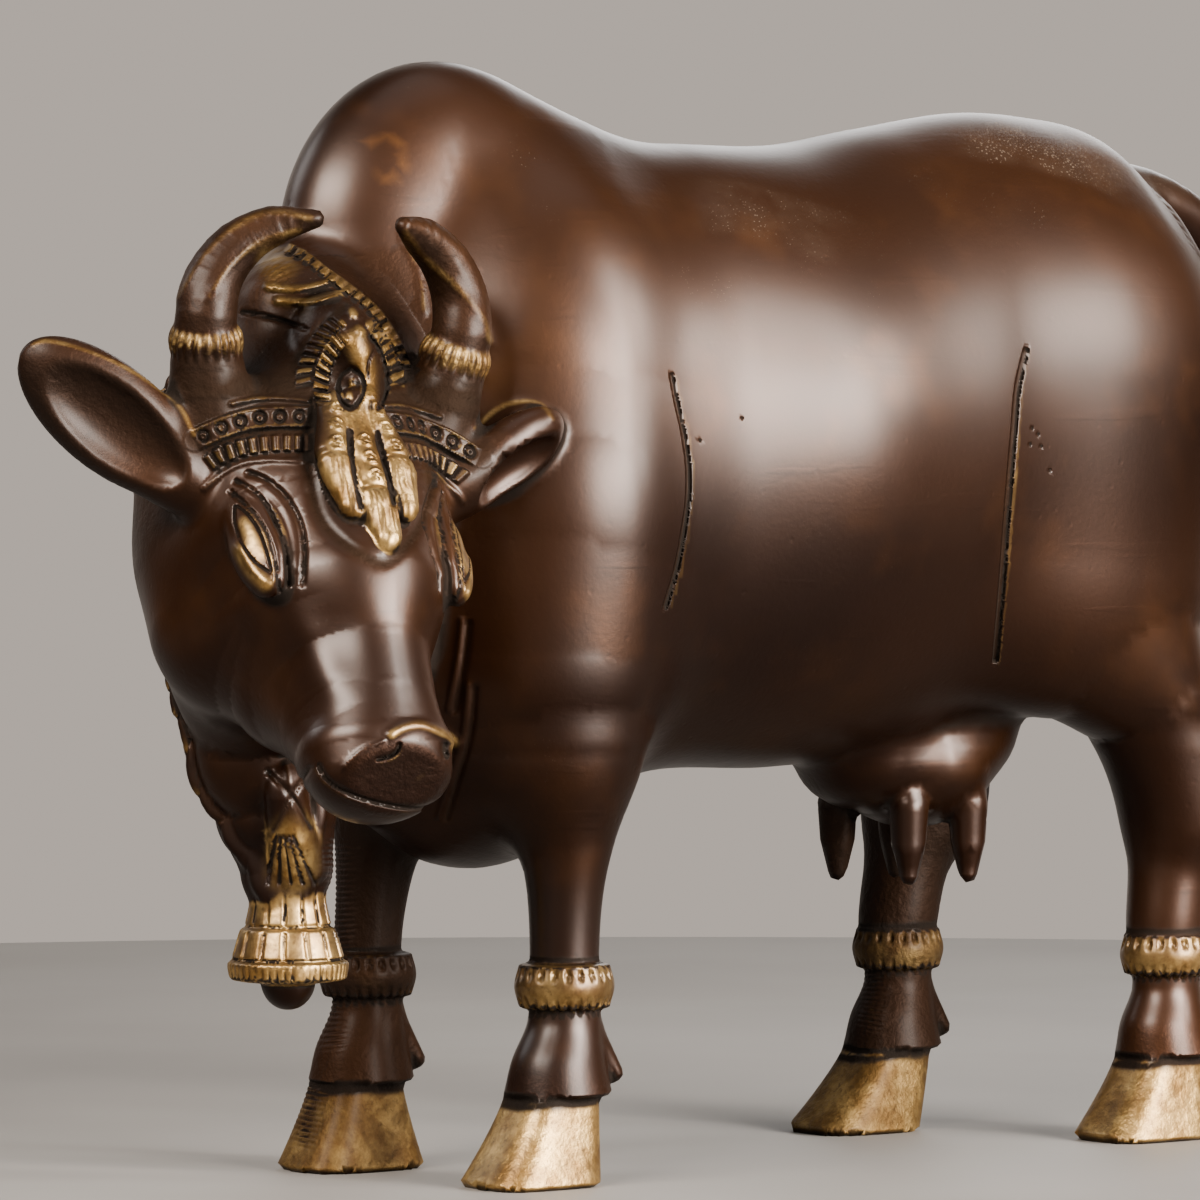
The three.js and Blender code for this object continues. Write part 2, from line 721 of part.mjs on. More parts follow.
// Fewer triangles: the edge whose loss changes the surface least goes first.
function simplified({ positions, triangles }, target) {
  const count = positions.length / 3;
  const trianglesOf = Array.from({ length: count }, () => []);
  const alive = new Uint8Array(triangles.length / 3).fill(1);
  const stamp = new Uint32Array(count);
  const quadrics = new Float64Array(count * 10);
  const point = (v) => [positions[3 * v], positions[3 * v + 1], positions[3 * v + 2]];
  const normalOf = (p, q, r) => {
    const [ax, ay, az] = [q[0] - p[0], q[1] - p[1], q[2] - p[2]];
    const [bx, by, bz] = [r[0] - p[0], r[1] - p[1], r[2] - p[2]];
    return [ay * bz - az * by, az * bx - ax * bz, ax * by - ay * bx];
  };
  for (let t = 0; t < alive.length; t += 1) {
    const corners = [0, 1, 2].map((n) => triangles[3 * t + n]);
    const [p, q, r] = corners.map(point);
    const normal = normalOf(p, q, r);
    const size = Math.hypot(...normal);
    const [a, b, c] = normal.map((value) => value / (size || 1));
    const d = -(a * p[0] + b * p[1] + c * p[2]);
    const plane = [a * a, a * b, a * c, a * d, b * b, b * c, b * d, c * c, c * d, d * d];
    for (const v of corners) {
      trianglesOf[v].push(t);
      for (let n = 0; n < 10; n += 1) quadrics[10 * v + n] += plane[n] * size;
    }
  }

  // The best place for an edge's two ends to meet, and what it costs.
  const meeting = (a, b) => {
    const q = new Float64Array(10);
    for (let n = 0; n < 10; n += 1) q[n] = quadrics[10 * a + n] + quadrics[10 * b + n];
    const [pa, pb] = [point(a), point(b)];
    const middle = pa.map((value, n) => (value + pb[n]) / 2);
    const length = Math.hypot(pa[0] - pb[0], pa[1] - pb[1], pa[2] - pb[2]);
    // A light pull to the middle keeps the place well defined where the surface is flat.
    const pull = 1e-3 * (q[0] + q[4] + q[7]) + 1e-9;
    const [m00, m01, m02, m11, m12, m22] = [q[0] + pull, q[1], q[2], q[4] + pull, q[5], q[7] + pull];
    const right = [pull * middle[0] - q[3], pull * middle[1] - q[6], pull * middle[2] - q[8]];
    const c00 = m11 * m22 - m12 * m12;
    const c01 = m02 * m12 - m01 * m22;
    const c02 = m01 * m12 - m02 * m11;
    const det = m00 * c00 + m01 * c01 + m02 * c02;
    const c11 = m00 * m22 - m02 * m02;
    const c12 = m01 * m02 - m00 * m12;
    const c22 = m00 * m11 - m01 * m01;
    let place = [
      (c00 * right[0] + c01 * right[1] + c02 * right[2]) / det,
      (c01 * right[0] + c11 * right[1] + c12 * right[2]) / det,
      (c02 * right[0] + c12 * right[1] + c22 * right[2]) / det,
    ];
    const moved = Math.hypot(place[0] - middle[0], place[1] - middle[1], place[2] - middle[2]);
    if (!(moved < length)) place = middle;
    const [x, y, z] = place;
    const cost =
      q[0] * x * x + q[4] * y * y + q[7] * z * z + q[9] +
      2 * (q[1] * x * y + q[2] * x * z + q[5] * y * z + q[3] * x + q[6] * y + q[8] * z);
    return { cost: Math.max(cost, 0) + 1e-7 * length * length, place };
  };

  const heap = [];
  const push = (entry) => {
    let i = heap.push(entry) - 1;
    while (i > 0) {
      const up = (i - 1) >> 1;
      if (heap[up].cost <= heap[i].cost) break;
      [heap[up], heap[i]] = [heap[i], heap[up]];
      i = up;
    }
  };
  const pop = () => {
    const top = heap[0];
    const last = heap.pop();
    if (!heap.length) return top;
    heap[0] = last;
    for (let i = 0; ; ) {
      let least = i;
      for (const child of [2 * i + 1, 2 * i + 2]) {
        if (child < heap.length && heap[child].cost < heap[least].cost) least = child;
      }
      if (least === i) return top;
      [heap[least], heap[i]] = [heap[i], heap[least]];
      i = least;
    }
  };
  const neighbours = (v) => {
    const found = new Set();
    for (const t of trianglesOf[v]) {
      for (let n = 0; n < 3; n += 1) found.add(triangles[3 * t + n]);
    }
    found.delete(v);
    return found;
  };
  const offer = (a, b) => push({ a, b, stampA: stamp[a], stampB: stamp[b], ...meeting(a, b) });
  for (let v = 0; v < count; v += 1) {
    for (const other of neighbours(v)) {
      if (other > v) offer(v, other);
    }
  }

  // Whether a triangle would turn over or shrink to a sliver with vertex v at place.
  const spoils = (v, other, place) =>
    trianglesOf[v].some((t) => {
      const corners = [0, 1, 2].map((n) => triangles[3 * t + n]);
      if (corners.includes(other)) return false;
      const old = normalOf(...corners.map(point));
      const now = normalOf(...corners.map((c) => (c === v ? place : point(c))));
      const sizes = Math.hypot(...old) * Math.hypot(...now);
      return old[0] * now[0] + old[1] * now[1] + old[2] * now[2] < 0.3 * sizes || Math.hypot(...now) < 1e-3;
    });

  let left = alive.length;
  while (left > target && heap.length) {
    const { a, b, stampA, stampB, place } = pop();
    if (stamp[a] !== stampA || stamp[b] !== stampB) continue;
    const around = neighbours(b);
    const shared = [...neighbours(a)].filter((v) => around.has(v));
    if (shared.length !== 2 || spoils(a, b, place) || spoils(b, a, place)) continue;
    for (const t of trianglesOf[b]) {
      const corners = [0, 1, 2].map((n) => triangles[3 * t + n]);
      if (corners.includes(a)) {
        alive[t] = 0;
        left -= 1;
        for (const v of corners) {
          if (v !== b) trianglesOf[v].splice(trianglesOf[v].indexOf(t), 1);
        }
      } else {
        triangles[3 * t + corners.indexOf(b)] = a;
        trianglesOf[a].push(t);
      }
    }
    trianglesOf[b] = [];
    stamp[b] += 1;
    stamp[a] += 1;
    for (let n = 0; n < 10; n += 1) quadrics[10 * a + n] += quadrics[10 * b + n];
    positions.set(place, 3 * a);
    for (const other of neighbours(a)) offer(a, other);
  }

  const kept = new THREE.BufferGeometry();
  kept.setAttribute("position", new THREE.Float32BufferAttribute(positions, 3));
  const remaining = [...alive.keys()].filter((t) => alive[t]);
  kept.setIndex(remaining.flatMap((t) => [0, 1, 2].map((n) => triangles[3 * t + n])));
  return kept;
}

// Booleans

const wasm = await Module();
wasm.setup();

function solidFrom(geometry) {
  const bare = geometry.clone();
  for (const name of Object.keys(bare.attributes)) {
    if (name !== "position") bare.deleteAttribute(name);
  }
  const merged = mergeVertices(bare, 1e-4);
  return new wasm.Manifold(
    new wasm.Mesh({
      numProp: 3,
      vertProperties: merged.attributes.position.array,
      triVerts: new Uint32Array(merged.index.array),
    }),
  );
}

function geometryFrom(solid) {
  const { vertProperties, triVerts } = solid.getMesh();
  const geometry = new THREE.BufferGeometry();
  geometry.setAttribute("position", new THREE.Float32BufferAttribute(vertProperties, 3));
  geometry.setIndex(new THREE.Uint32BufferAttribute(triVerts, 1));
  return geometry;
}

// The casting, with its soles ground flat on the floor, and its origin under the middle of its box.

// How deep the box is that grinds the soles off.
const GROUND = 10;
// Finer over the head, the legs and the scored lines.
const ALONG_X = [
  [-84, HEAD_CELL],
  [-60, BODY_CELL],
  [-44, HEAD_CELL],
  [22, BODY_CELL],
  [34, HEAD_CELL],
  [126, BODY_CELL],
];
const ALONG_Y = [
  [6, HEAD_CELL],
  [50, BODY_CELL],
];
const ALONG_Z = [
  [40, 2],
  [180, HEAD_CELL],
  [206, BODY_CELL],
];
const GRID = [planes(-172, ALONG_X), planes(-94, ALONG_Y), planes(-6, ALONG_Z)];
const skin = simplified(surfaceOf(FORMS, GRID), TRIANGLES);
const ground = new THREE.BoxGeometry(400, 400, GROUND);
ground.translate(0, 0, -GROUND / 2);
const cast = geometryFrom(solidFrom(skin).subtract(solidFrom(ground)));
cast.computeBoundingBox();
const middle = cast.boundingBox.getCenter(new THREE.Vector3());

const cow = new THREE.Mesh(cast, COAT);
cow.name = "cow";
cow.position.set(-middle.x, -middle.y, 0);

const group = new THREE.Group();
group.add(cow);
export default group;
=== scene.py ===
"""Looks of the cast brass cow statue: its skin and ornaments, its worn patina, and a studio round it."""

import itertools
import json
import math
from collections import namedtuple

import bpy
import numpy as np
import openvdb
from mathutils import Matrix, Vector

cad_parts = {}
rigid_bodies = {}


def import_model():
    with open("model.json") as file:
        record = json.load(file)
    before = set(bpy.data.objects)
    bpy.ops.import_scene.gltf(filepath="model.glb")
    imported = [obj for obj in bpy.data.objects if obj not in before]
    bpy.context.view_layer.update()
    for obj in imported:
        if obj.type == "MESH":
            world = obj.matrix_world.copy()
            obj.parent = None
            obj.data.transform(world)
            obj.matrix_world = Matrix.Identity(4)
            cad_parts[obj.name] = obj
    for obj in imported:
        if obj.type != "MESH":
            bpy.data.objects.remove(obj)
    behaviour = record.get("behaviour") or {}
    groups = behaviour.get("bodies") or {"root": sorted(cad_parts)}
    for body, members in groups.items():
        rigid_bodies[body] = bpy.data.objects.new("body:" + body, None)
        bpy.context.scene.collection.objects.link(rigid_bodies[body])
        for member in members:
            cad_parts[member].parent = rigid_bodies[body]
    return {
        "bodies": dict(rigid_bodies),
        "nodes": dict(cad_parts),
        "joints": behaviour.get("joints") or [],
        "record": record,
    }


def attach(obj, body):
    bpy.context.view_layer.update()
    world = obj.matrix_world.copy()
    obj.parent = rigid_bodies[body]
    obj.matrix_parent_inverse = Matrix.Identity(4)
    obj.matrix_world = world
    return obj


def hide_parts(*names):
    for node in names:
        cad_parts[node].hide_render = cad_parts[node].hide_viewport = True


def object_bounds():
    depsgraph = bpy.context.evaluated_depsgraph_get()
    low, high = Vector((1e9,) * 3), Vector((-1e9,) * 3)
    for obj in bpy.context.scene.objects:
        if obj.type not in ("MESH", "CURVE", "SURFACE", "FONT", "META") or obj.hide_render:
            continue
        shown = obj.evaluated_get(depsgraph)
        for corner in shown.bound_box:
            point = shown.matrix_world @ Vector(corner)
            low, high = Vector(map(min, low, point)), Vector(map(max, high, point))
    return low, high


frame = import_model()
cad_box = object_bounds()

# Driving dimensions, in millimetres. The cow faces -X, its left flank faces -Y, and the floor is z = 0.
MM = 0.001
HUMP_TOP = 198.7
RUMP_TOP = 194.8
BACK_DIP = 186.0
BELLY = 71.5
BRISKET = 56.0
HALF_WIDTH = 41.0
HEAD_TURN = math.radians(81)
FACE_PITCH = math.radians(35)
HEAD_ROLL = math.radians(2.5)
EYES_CENTRE = np.array([-121.1, -43.9, 112.5])
HOOF_TOP = 17.0
LEG_SPREAD = 22.5
SIDES = (-1, 1)

# The length of the casting's triangles on its plain skin. Finer stretches halve it up to three times.
CELL = 2.0
# How far from the surface the distances are worked out.
REACH = 5.0


# Distance fields


class Field:
    """A distance to a form, in millimetres, and a box round the form."""

    def __init__(self, distance, low, high):
        self.distance = distance
        self.low = np.array(low, float)
        self.high = np.array(high, float)

    def __call__(self, points):
        return self.distance(points)


def join(a, b, k):
    """The union of two distances, with a fillet about k wide."""
    h = np.maximum(k - np.abs(a - b), 0) / k
    return np.minimum(a, b) - h * h * k / 4


def carve(a, b, k):
    """What is left of a without b."""
    return -join(-a, b, k)


def within(points, low, high):
    """Which points are inside a box."""
    return ((points > low) & (points < high)).all(1)


def ellipsoid(offset, radii):
    """Distance to an ellipsoid with those half-axes, exact near its surface."""
    k0 = np.sqrt(((offset / radii) ** 2).sum(1))
    k1 = np.sqrt(((offset / radii**2) ** 2).sum(1))
    return k0 * (k0 - 1) / np.maximum(k1, 1e-9)


def mound(centre, radii):
    """One ellipsoid."""
    centre, radii = np.array(centre, float), np.array(radii, float)
    return Field(lambda p: ellipsoid(p - centre, radii), centre - radii, centre + radii)


def profile(rows):
    """Smooth interpolation of rows of numbers, keyed by their first number."""
    rows = np.array(rows, float)
    after = np.vstack([rows[1:], rows[-1:]])
    before = np.vstack([rows[:1], rows[:-1]])
    slopes = (after - before) / (after[:, :1] - before[:, :1])

    def at(key):
        i = np.clip(np.searchsorted(rows[:, 0], key) - 1, 0, len(rows) - 2)
        span = (rows[i + 1, 0] - rows[i, 0])[:, None]
        t = np.clip((key[:, None] - rows[i, :1]) / span, 0, 1)
        t2, t3 = t * t, t * t * t
        ends = (2 * t3 - 3 * t2 + 1) * rows[i] + (3 * t2 - 2 * t3) * rows[i + 1]
        return ends + ((t3 - 2 * t2 + t) * slopes[i] + (t3 - t2) * slopes[i + 1]) * span

    return at


ALONG_X, ALONG_Z = 0, 2


def loft(rows, axis, cap_low, cap_high):
    """Elliptical sections along an axis: [place along it, the centre's two other places, two half-axes]."""
    at = profile(rows)
    first, last = rows[0][0], rows[-1][0]
    others = [n for n in range(3) if n != axis]

    def laid_out(along, across):
        """Numbers along the axis and across it, in the order X, Y, Z."""
        out = np.empty((len(across), 3))
        out[:, axis] = along
        out[:, others] = across
        return out

    def distance(p):
        key = np.clip(p[:, axis], first, last)
        row = at(key)
        cap = np.where(p[:, axis] < first, cap_low, cap_high)
        return ellipsoid(p - laid_out(key, row[:, 1:3]), laid_out(cap, row[:, 3:5]))

    middles, halves = np.split(np.array(rows, float)[:, 1:], 2, axis=1)
    low = laid_out(first - cap_low, (middles - halves).min(0)[None])[0]
    high = laid_out(last + cap_high, (middles + halves).max(0)[None])[0]
    return Field(distance, low, high)


def smooth_curve(stations, steps):
    """Points on a centripetal Catmull-Rom curve through the stations, steps for each stretch."""
    p = np.vstack([2 * stations[0] - stations[1], stations, 2 * stations[-1] - stations[-2]])
    gaps = np.maximum(np.sqrt(np.linalg.norm(np.diff(p, axis=0), axis=1)), 1e-4)
    out = []
    for n in range(len(stations) - 1):
        x0, x1, x2, x3 = p[n : n + 4]
        d0, d1, d2 = gaps[n : n + 3]
        m1 = ((x1 - x0) / d0 - (x2 - x0) / (d0 + d1) + (x2 - x1) / d1) * d1
        m2 = ((x2 - x1) / d1 - (x3 - x1) / (d1 + d2) + (x3 - x2) / d2) * d1
        for t in np.arange(steps) / steps:
            out.append(x1 + m1 * t + (3 * (x2 - x1) - 2 * m1 - m2) * t**2 + (2 * (x1 - x2) + m1 + m2) * t**3)
    return np.array(out + [stations[-1]])


def stations_of(rows, steps=1):
    """The centres and half-axes of the balls that a limb runs through."""
    rows = np.array([row if len(row) == 6 else [*row[:3], row[3], row[3], row[3]] for row in rows], float)
    centres = smooth_curve(rows[:, :3], steps)
    places = np.arange(len(centres)) / steps
    radii = np.stack([np.interp(places, range(len(rows)), rows[:, c]) for c in (3, 4, 5)], 1)
    return centres, radii


def limb(rows, steps=1):
    """A limb through ball-like stations [x, y, z, rx, ry, rz]; ry and rz are left out where it is round."""
    centres, radii = stations_of(rows, steps)

    def distance(p):
        best = np.full(len(p), np.inf)
        for a, b, ra, rb in zip(centres[:-1], centres[1:], radii[:-1], radii[1:]):
            way = b - a
            t = np.clip(((p - a) @ way) / (way @ way), 0, 1)[:, None]
            best = np.minimum(best, ellipsoid(p - a - t * way, ra + t * (rb - ra)))
        return best

    return Field(distance, (centres - radii).min(0), (centres + radii).max(0))


def turned_box(low, high, turn, shift):
    """The box round a box that is turned and then shifted."""
    corners = np.array(list(itertools.product(*zip(low, high)))) @ turn.T + shift
    return corners.min(0), corners.max(0)


def placed(field, matrix):
    """The field in a turned frame: matrix takes the field's own axes to the statue's."""
    turn, shift = matrix[:3, :3], matrix[:3, 3]
    return Field(lambda p: field((p - shift) @ turn), *turned_box(field.low, field.high, turn, shift))


def basis(x_axis, y_axis, z_axis, origin):
    """The matrix of a frame with those axes and that origin."""
    matrix = np.eye(4)
    matrix[:3, 0], matrix[:3, 1], matrix[:3, 2], matrix[:3, 3] = x_axis, y_axis, z_axis, origin
    return matrix


def unit(vector):
    """The vector with length 1."""
    return np.array(vector, float) / np.linalg.norm(vector)


class Form:
    """One form of the casting, how widely it blends into those before it, and how brassy it has worn.

    A carved form is cut out, a relief moves the skin that is there, and a fine form has finer triangles.
    """

    def __init__(self, field, blend, carved=False, relief=False, brass=0.0, brass_below=1e3, fine=False):
        self.field, self.blend = field, blend
        self.carved, self.relief, self.fine = carved, relief, fine or carved
        self.brass, self.brass_below = brass, brass_below


def combined(forms, points):
    """The distance to all the forms together, true to within REACH of the surface."""
    d = np.full(len(points), 1e3)
    for form in forms:
        margin = REACH + form.blend
        near = within(points, form.field.low - margin, form.field.high + margin)
        if near.any():
            one = form.field(points[near])
            if form.relief:
                d[near] -= one
            else:
                d[near] = (carve if form.carved else join)(d[near], one, form.blend)
    return d


FORMS = []


def add(field, blend, **kind):
    """One more form of the casting."""
    FORMS.append(Form(field, blend, **kind))


# The torso and its limbs

torso = loft([
    [-88, 0, 108, 18, 45], [-75, 0, (178 + BRISKET) / 2, 28, (178 - BRISKET) / 2],
    [-60, 0, (184 + BRISKET) / 2, 35, (184 - BRISKET) / 2], [-45, 0, 125.5, 36.5, 59],
    [-28, 0, (BACK_DIP + BELLY) / 2, 39, (BACK_DIP - BELLY) / 2], [0, 0, 129.2, HALF_WIDTH, 57.6],
    [23, 0, 132.5, HALF_WIDTH, 58.5], [45, 0, 137.5, 38.5, RUMP_TOP - 137.5],
    [60, 0, 140.5, 37, RUMP_TOP - 140.5], [75, 0, 143, 33.5, 49.5], [88, 0, 144, 27, 40],
], ALONG_X, 12, 12)
# The flank shown in the picture sinks behind the shoulder and swells at the barrel. Each row has the place
# along X, the height above the floor, the swell, the half-length and the half-height.
SWELLS = [[-51, 126, -1.5, 8, 36], [-6, 138, 2.5, 17, 32]]


def swollen(p):
    """How far the left flank swells at each point."""
    out = np.zeros(len(p))
    for x, z, swell, long, high in SWELLS:
        out += swell * np.exp(-(((p[:, 0] - x) / long) ** 2) - ((p[:, 2] - z) / high) ** 2)
    return out * np.clip(-p[:, 1] / 20, 0, 1)


hump = limb([[-84, 2, 156, 20, 14, 26], [-74, 0, 164, 32, 18, HUMP_TOP - 164], [-60, 0, 158, 26, 20, 34]])
neck = limb([[-76, 0, 140, 28, 21, 30], [-94, -2, 134, 21, 19, 28], [-108, -11, 129, 21.5, 20, 31]])
nape = limb([[-108, -9, 128, 20, 18, 26], [-115, -23, 122, 20, 16, 24]])
poll = limb([[-99, 13, 156, 9, 9, 7], [-106, 2, 157, 10, 10, 7], [-113, -12, 155, 9, 9, 6.5]])
dewlap = limb([
    [-112, -2, 122, 24, 17, 26], [-111.5, -2, 92, 18, 13, 20], [-110.5, 0, 78, 13.5, 10, 15],
    [-108.5, 0, 67, 9.5, 7.5, 10], [-106.5, 0, 57, 6.5, 6, 8],
])


def shoulder(side):
    """A shoulder and its upper arm."""
    return limb([
        [-59, side * 18, 139, 20, 16, 31], [-62, side * 21.5, 118, 19, 16.5, 26],
        [-64, side * 23, 92, 16, 13.5, 18], [-64, side * 23, 76, 12, 11, 12],
    ])


def thigh(side, stifle, hock):
    """A thigh from the hip to the hock, by the places of its stifle and hock along X."""
    return limb([
        [62, side * 18, 140, 33, 19, 34], [stifle, side * 21, 106, 31, 17.5, 26],
        [stifle + 17, side * 22.5, 84, 13.5, 13, 13], [hock, side * 23.5, 62, 9.5, 9, 11],
    ])


add(Field(lambda p: torso(p) - swollen(p), torso.low, torso.high), 1)
add(hump, 16)
add(neck, 9)
add(nape, 4)
add(poll, 6)
add(dewlap, 8)
add(shoulder(-1), 17)
add(shoulder(1), 17)
add(thigh(-1, 58, 84.5), 12)
add(thigh(1, 42, 58), 12)

# The legs. Each has its side, then the places along X of its toe, hoof's top, ankle and shank's top, then its
# hoof's half-length, its shank's height and girth, and how far its anklet has worn to brass.
Leg = namedtuple("Leg", "side toe hoof_top ankle top hoof_length top_height girth worn")
LEGS = [
    Leg(-1, -70.3, -65.1, -62.5, -62, 12, 64, 1, 0.6),
    Leg(1, -77.3, -76, -73.5, -70, 13.2, 64, 1, 0.25),
    Leg(-1, 74, 79, 80.5, 84.5, 13.4, 60, 1.25, 0.7),
    Leg(1, 39.7, 49, 51.5, 58, 12.8, 60, 1.25, 0.6),
]
ANKLET_LOW, ANKLET_HIGH = 30.5, 39.5
ANKLET_NICKS, ANKLET_NOTCHES = 22, 25
HOOF_SIDE = 9.6
SQUARENESS = 3.4


def lerp(a, b, t):
    """From a to b as t goes from 0 to 1."""
    return a + (b - a) * t


def hoof(leg, y):
    """A hoof with flattened fronts and sides that meet in edges, and a flat top under the pastern."""

    def distance(p):
        t = np.clip(p[:, 2] / HOOF_TOP, 0, 1)
        flare = (1 - t) ** 1.25
        rx, ry = lerp(7.2, leg.hoof_length, flare), lerp(7, HOOF_SIDE, flare)
        cx = lerp(leg.hoof_top, leg.toe, flare)
        u = np.abs((p[:, 0] - cx) / rx) ** SQUARENESS + np.abs((p[:, 1] - y) / ry) ** SQUARENESS
        wall = (u ** (1 / SQUARENESS) - 1) * np.minimum(rx, ry)
        return carve(carve(wall, HOOF_TOP + 0.4 - p[:, 2], 0.8), p[:, 2], 0.1)

    low = [leg.toe - leg.hoof_length, y - HOOF_SIDE, 0]
    return Field(distance, low, [leg.hoof_top + leg.hoof_length, y + HOOF_SIDE, HOOF_TOP + 1])


def beat(angle, count):
    """0 at so many places round a ring, and down to -1 between them."""
    return np.abs(np.sin(angle * count / 2)) - 1


def anklet(ankle, y):
    """A rounded band with teardrop nicks along its top and notches along its foot."""
    band = loft([
        [ANKLET_LOW + 1, ankle, y, 8.2, 7.9], [(ANKLET_LOW + ANKLET_HIGH) / 2, ankle, y, 9, 8.6],
        [ANKLET_HIGH - 1, ankle, y, 8.2, 7.9],
    ], ALONG_Z, 1, 1)

    def distance(p):
        angle = np.arctan2(p[:, 1] - y, p[:, 0] - ankle)
        z = p[:, 2]
        nick = np.exp(-((beat(angle, ANKLET_NICKS) / 0.22) ** 2) - ((z - ANKLET_HIGH + 2.3) / 0.9) ** 2)
        notch = np.exp(-((beat(angle, ANKLET_NOTCHES) / 0.2) ** 2))
        notch *= np.clip((ANKLET_LOW + 3 - z) / 2.2, 0, 1)
        return band(p) + 0.55 * nick + 0.7 * notch

    return Field(distance, band.low, band.high)


for leg in LEGS:
    y, ankle, girth = leg.side * LEG_SPREAD, leg.ankle, leg.girth
    shank = loft([
        [HOOF_TOP - 0.8, leg.hoof_top + 1.2, y, 9.8, 9.0],
        [22, lerp(leg.hoof_top, ankle, 0.5), y, 8.5, 7.8], [29, ankle, y, 6.6, 6.3],
        [40, ankle, y, 6.2 * girth, 6 * girth],
        [52, lerp(ankle, leg.top, 0.4), y, 6.9 * girth, 6.8 * girth],
        [leg.top_height, leg.top, y, 9.5 * girth, 9.2 * girth],
        [leg.top_height + 14, leg.top, y, 13, 12],
    ], ALONG_Z, 1, 6)
    dewclaw = limb([[ankle + 4.5, y, 27, 2.6, 4.2, 3], [ankle + 8.8, y, 19.4, 2.4, 4.6, 2.2]])
    add(shank, 5)
    add(anklet(ankle, y), 0.6, brass=leg.worn, fine=True)
    add(hoof(leg, y), 0.5, brass=0.9, brass_below=HOOF_TOP - 1.6)
    add(dewclaw, 1.2)

udder = limb([[24, 0, 73, 12, 14, 10], [36, 0, 72, 16, 15.5, 12.5], [46, 0, 80, 12, 14, 14]])
add(udder, 5)
for x in (27, 41.5):
    for y in (-10, 11):
        add(limb([[x, y, 64, 3.8], [x, y, 57, 3.3], [x, y, 51, 1.8]]), 1.5, brass=0.12)

tail = limb([
    [84, 0, 181, 7], [98, 0, 179, 6.3], [110, 0, 173, 5.6], [115, -1, 160, 5],
    [114.5, -2, 138, 4.5], [112, -4, 112, 4.3], [106, -9, 86, 5], [100, -14, 66, 5.6],
    [97, -17, 50, 2.4],
], 3)
add(tail, 3)

# The head, in its own frame: x runs down the face from between the eyes, y to the cow's left, z out of it.
heading = np.array([-math.cos(HEAD_TURN), -math.sin(HEAD_TURN), 0])
level_left = np.array([-heading[1], heading[0], 0])
head_left = level_left * math.cos(HEAD_ROLL) - np.cross(heading, level_left) * math.sin(HEAD_ROLL)
head_up = np.cross(heading, head_left)
face_axis = heading * math.sin(FACE_PITCH) - head_up * math.cos(FACE_PITCH)
face_out = np.cross(face_axis, head_left)
HEAD_FRAME = basis(face_axis, head_left, face_out, EYES_CENTRE)

skull = limb([[-24, 0, -12, 14, 22, 18], [-11, 0, -13, 17, 23, 20], [3, 0, -13, 15, 18.5, 18.5]])
snout = limb([
    [6, 0, -10, 13, 12, 14.5], [17, 0, -10.5, 10, 9.4, 12.5], [26, 0, -11, 9, 10.2, 11.4],
    [34, 0, -11, 8, 12.2, 10], [38, 0, -11.5, 6.5, 11.8, 9],
])
chin = limb([[26, 0, -18, 9, 7.5, 6], [37.5, 0, -16, 5, 7.5, 4.5]])


def jaw(side):
    """One side of the jaw."""
    return limb([
        [-16, side * 8, -29, 18, 16.5, 16.5], [-5, side * 8, -30, 18, 16.5, 17],
        [10, side * 5, -25, 13, 11, 12], [22, side * 3, -18, 10, 9, 9.5],
        [31, side * 3, -17, 7, 7, 6.5],
    ])


# The flat pad that the muzzle ends in: a place on it and the way it faces, as x and z of the head's frame.
PAD_PLACE, PAD_FACING = (39.8, -4.5), (0.87, 0.5)


def past_pad(p):
    """How far in front of the pad each point is."""
    return (p[:, 0] - PAD_PLACE[0]) * PAD_FACING[0] + (p[:, 2] - PAD_PLACE[1]) * PAD_FACING[1]


def muzzle_end(p):
    """What is in front of the pad, inside a ball round the muzzle's end. It is carved away."""
    return np.maximum(-past_pad(p), np.linalg.norm(p - [44, 0, -8], axis=1) - 24)


head_start = len(FORMS)
add(skull, 8)
for side in SIDES:
    add(jaw(side), 9)
add(snout, 9)
add(chin, 3)
add(Field(muzzle_end, [20, -24, -32], [68, 24, 16]), 1, carved=True)


def ear(root, tip, front, half_width):
    """A leaf-shaped ear, hollow on its front face. Its own x runs out to the tip."""
    root, tip = np.array(root, float), np.array(tip, float)
    along = unit(tip - root)
    out = unit(np.array(front) - (np.array(front) @ along) * along)
    length = np.linalg.norm(tip - root)
    leaf = np.array([length * 0.54, half_width, 5])
    bowl = np.array([length * 0.43, half_width - 2.4, 4.4])

    def distance(p):
        shell = ellipsoid(p - [length * 0.46, 0, 0], leaf)
        hollow = ellipsoid(p - [length * 0.45, 0, 5.2], bowl)
        stalk = ellipsoid(p, np.array([9, 6, 5]))
        return carve(join(shell, stalk, 3), hollow, 1.2)

    field = Field(distance, [-9, -half_width, -5.5], [length, half_width, 5.5])
    return placed(field, basis(along, np.cross(out, along), out, root))


add(ear([-19, -25, -9], [-37.5, -53, 0], [0.6, -0.42, 0.6], 9), 2.5)
add(ear([-18, 26, -6], [-28, 44.5, 2], [0.72, 0.5, 0.3], 7), 2.5)


def horn(side):
    """A horn that rises and bends inwards over the poll."""
    return limb([
        [-27, 1 + side * 20.5, -4, 8], [-36.8, 1 + side * 23.5, 6, 5.3],
        [-39.3, 1 + side * 24, 9, 5.2], [-44.6, 1.5 + side * 23.3, 12, 4.9],
        [-49.2, 1.8 + side * 19.7, 16, 4.3], [-51, 1.8 + side * 14.2, 20, 3.4],
        [-50, 2 + side * 8.3, 24, 1.6],
    ], 3)


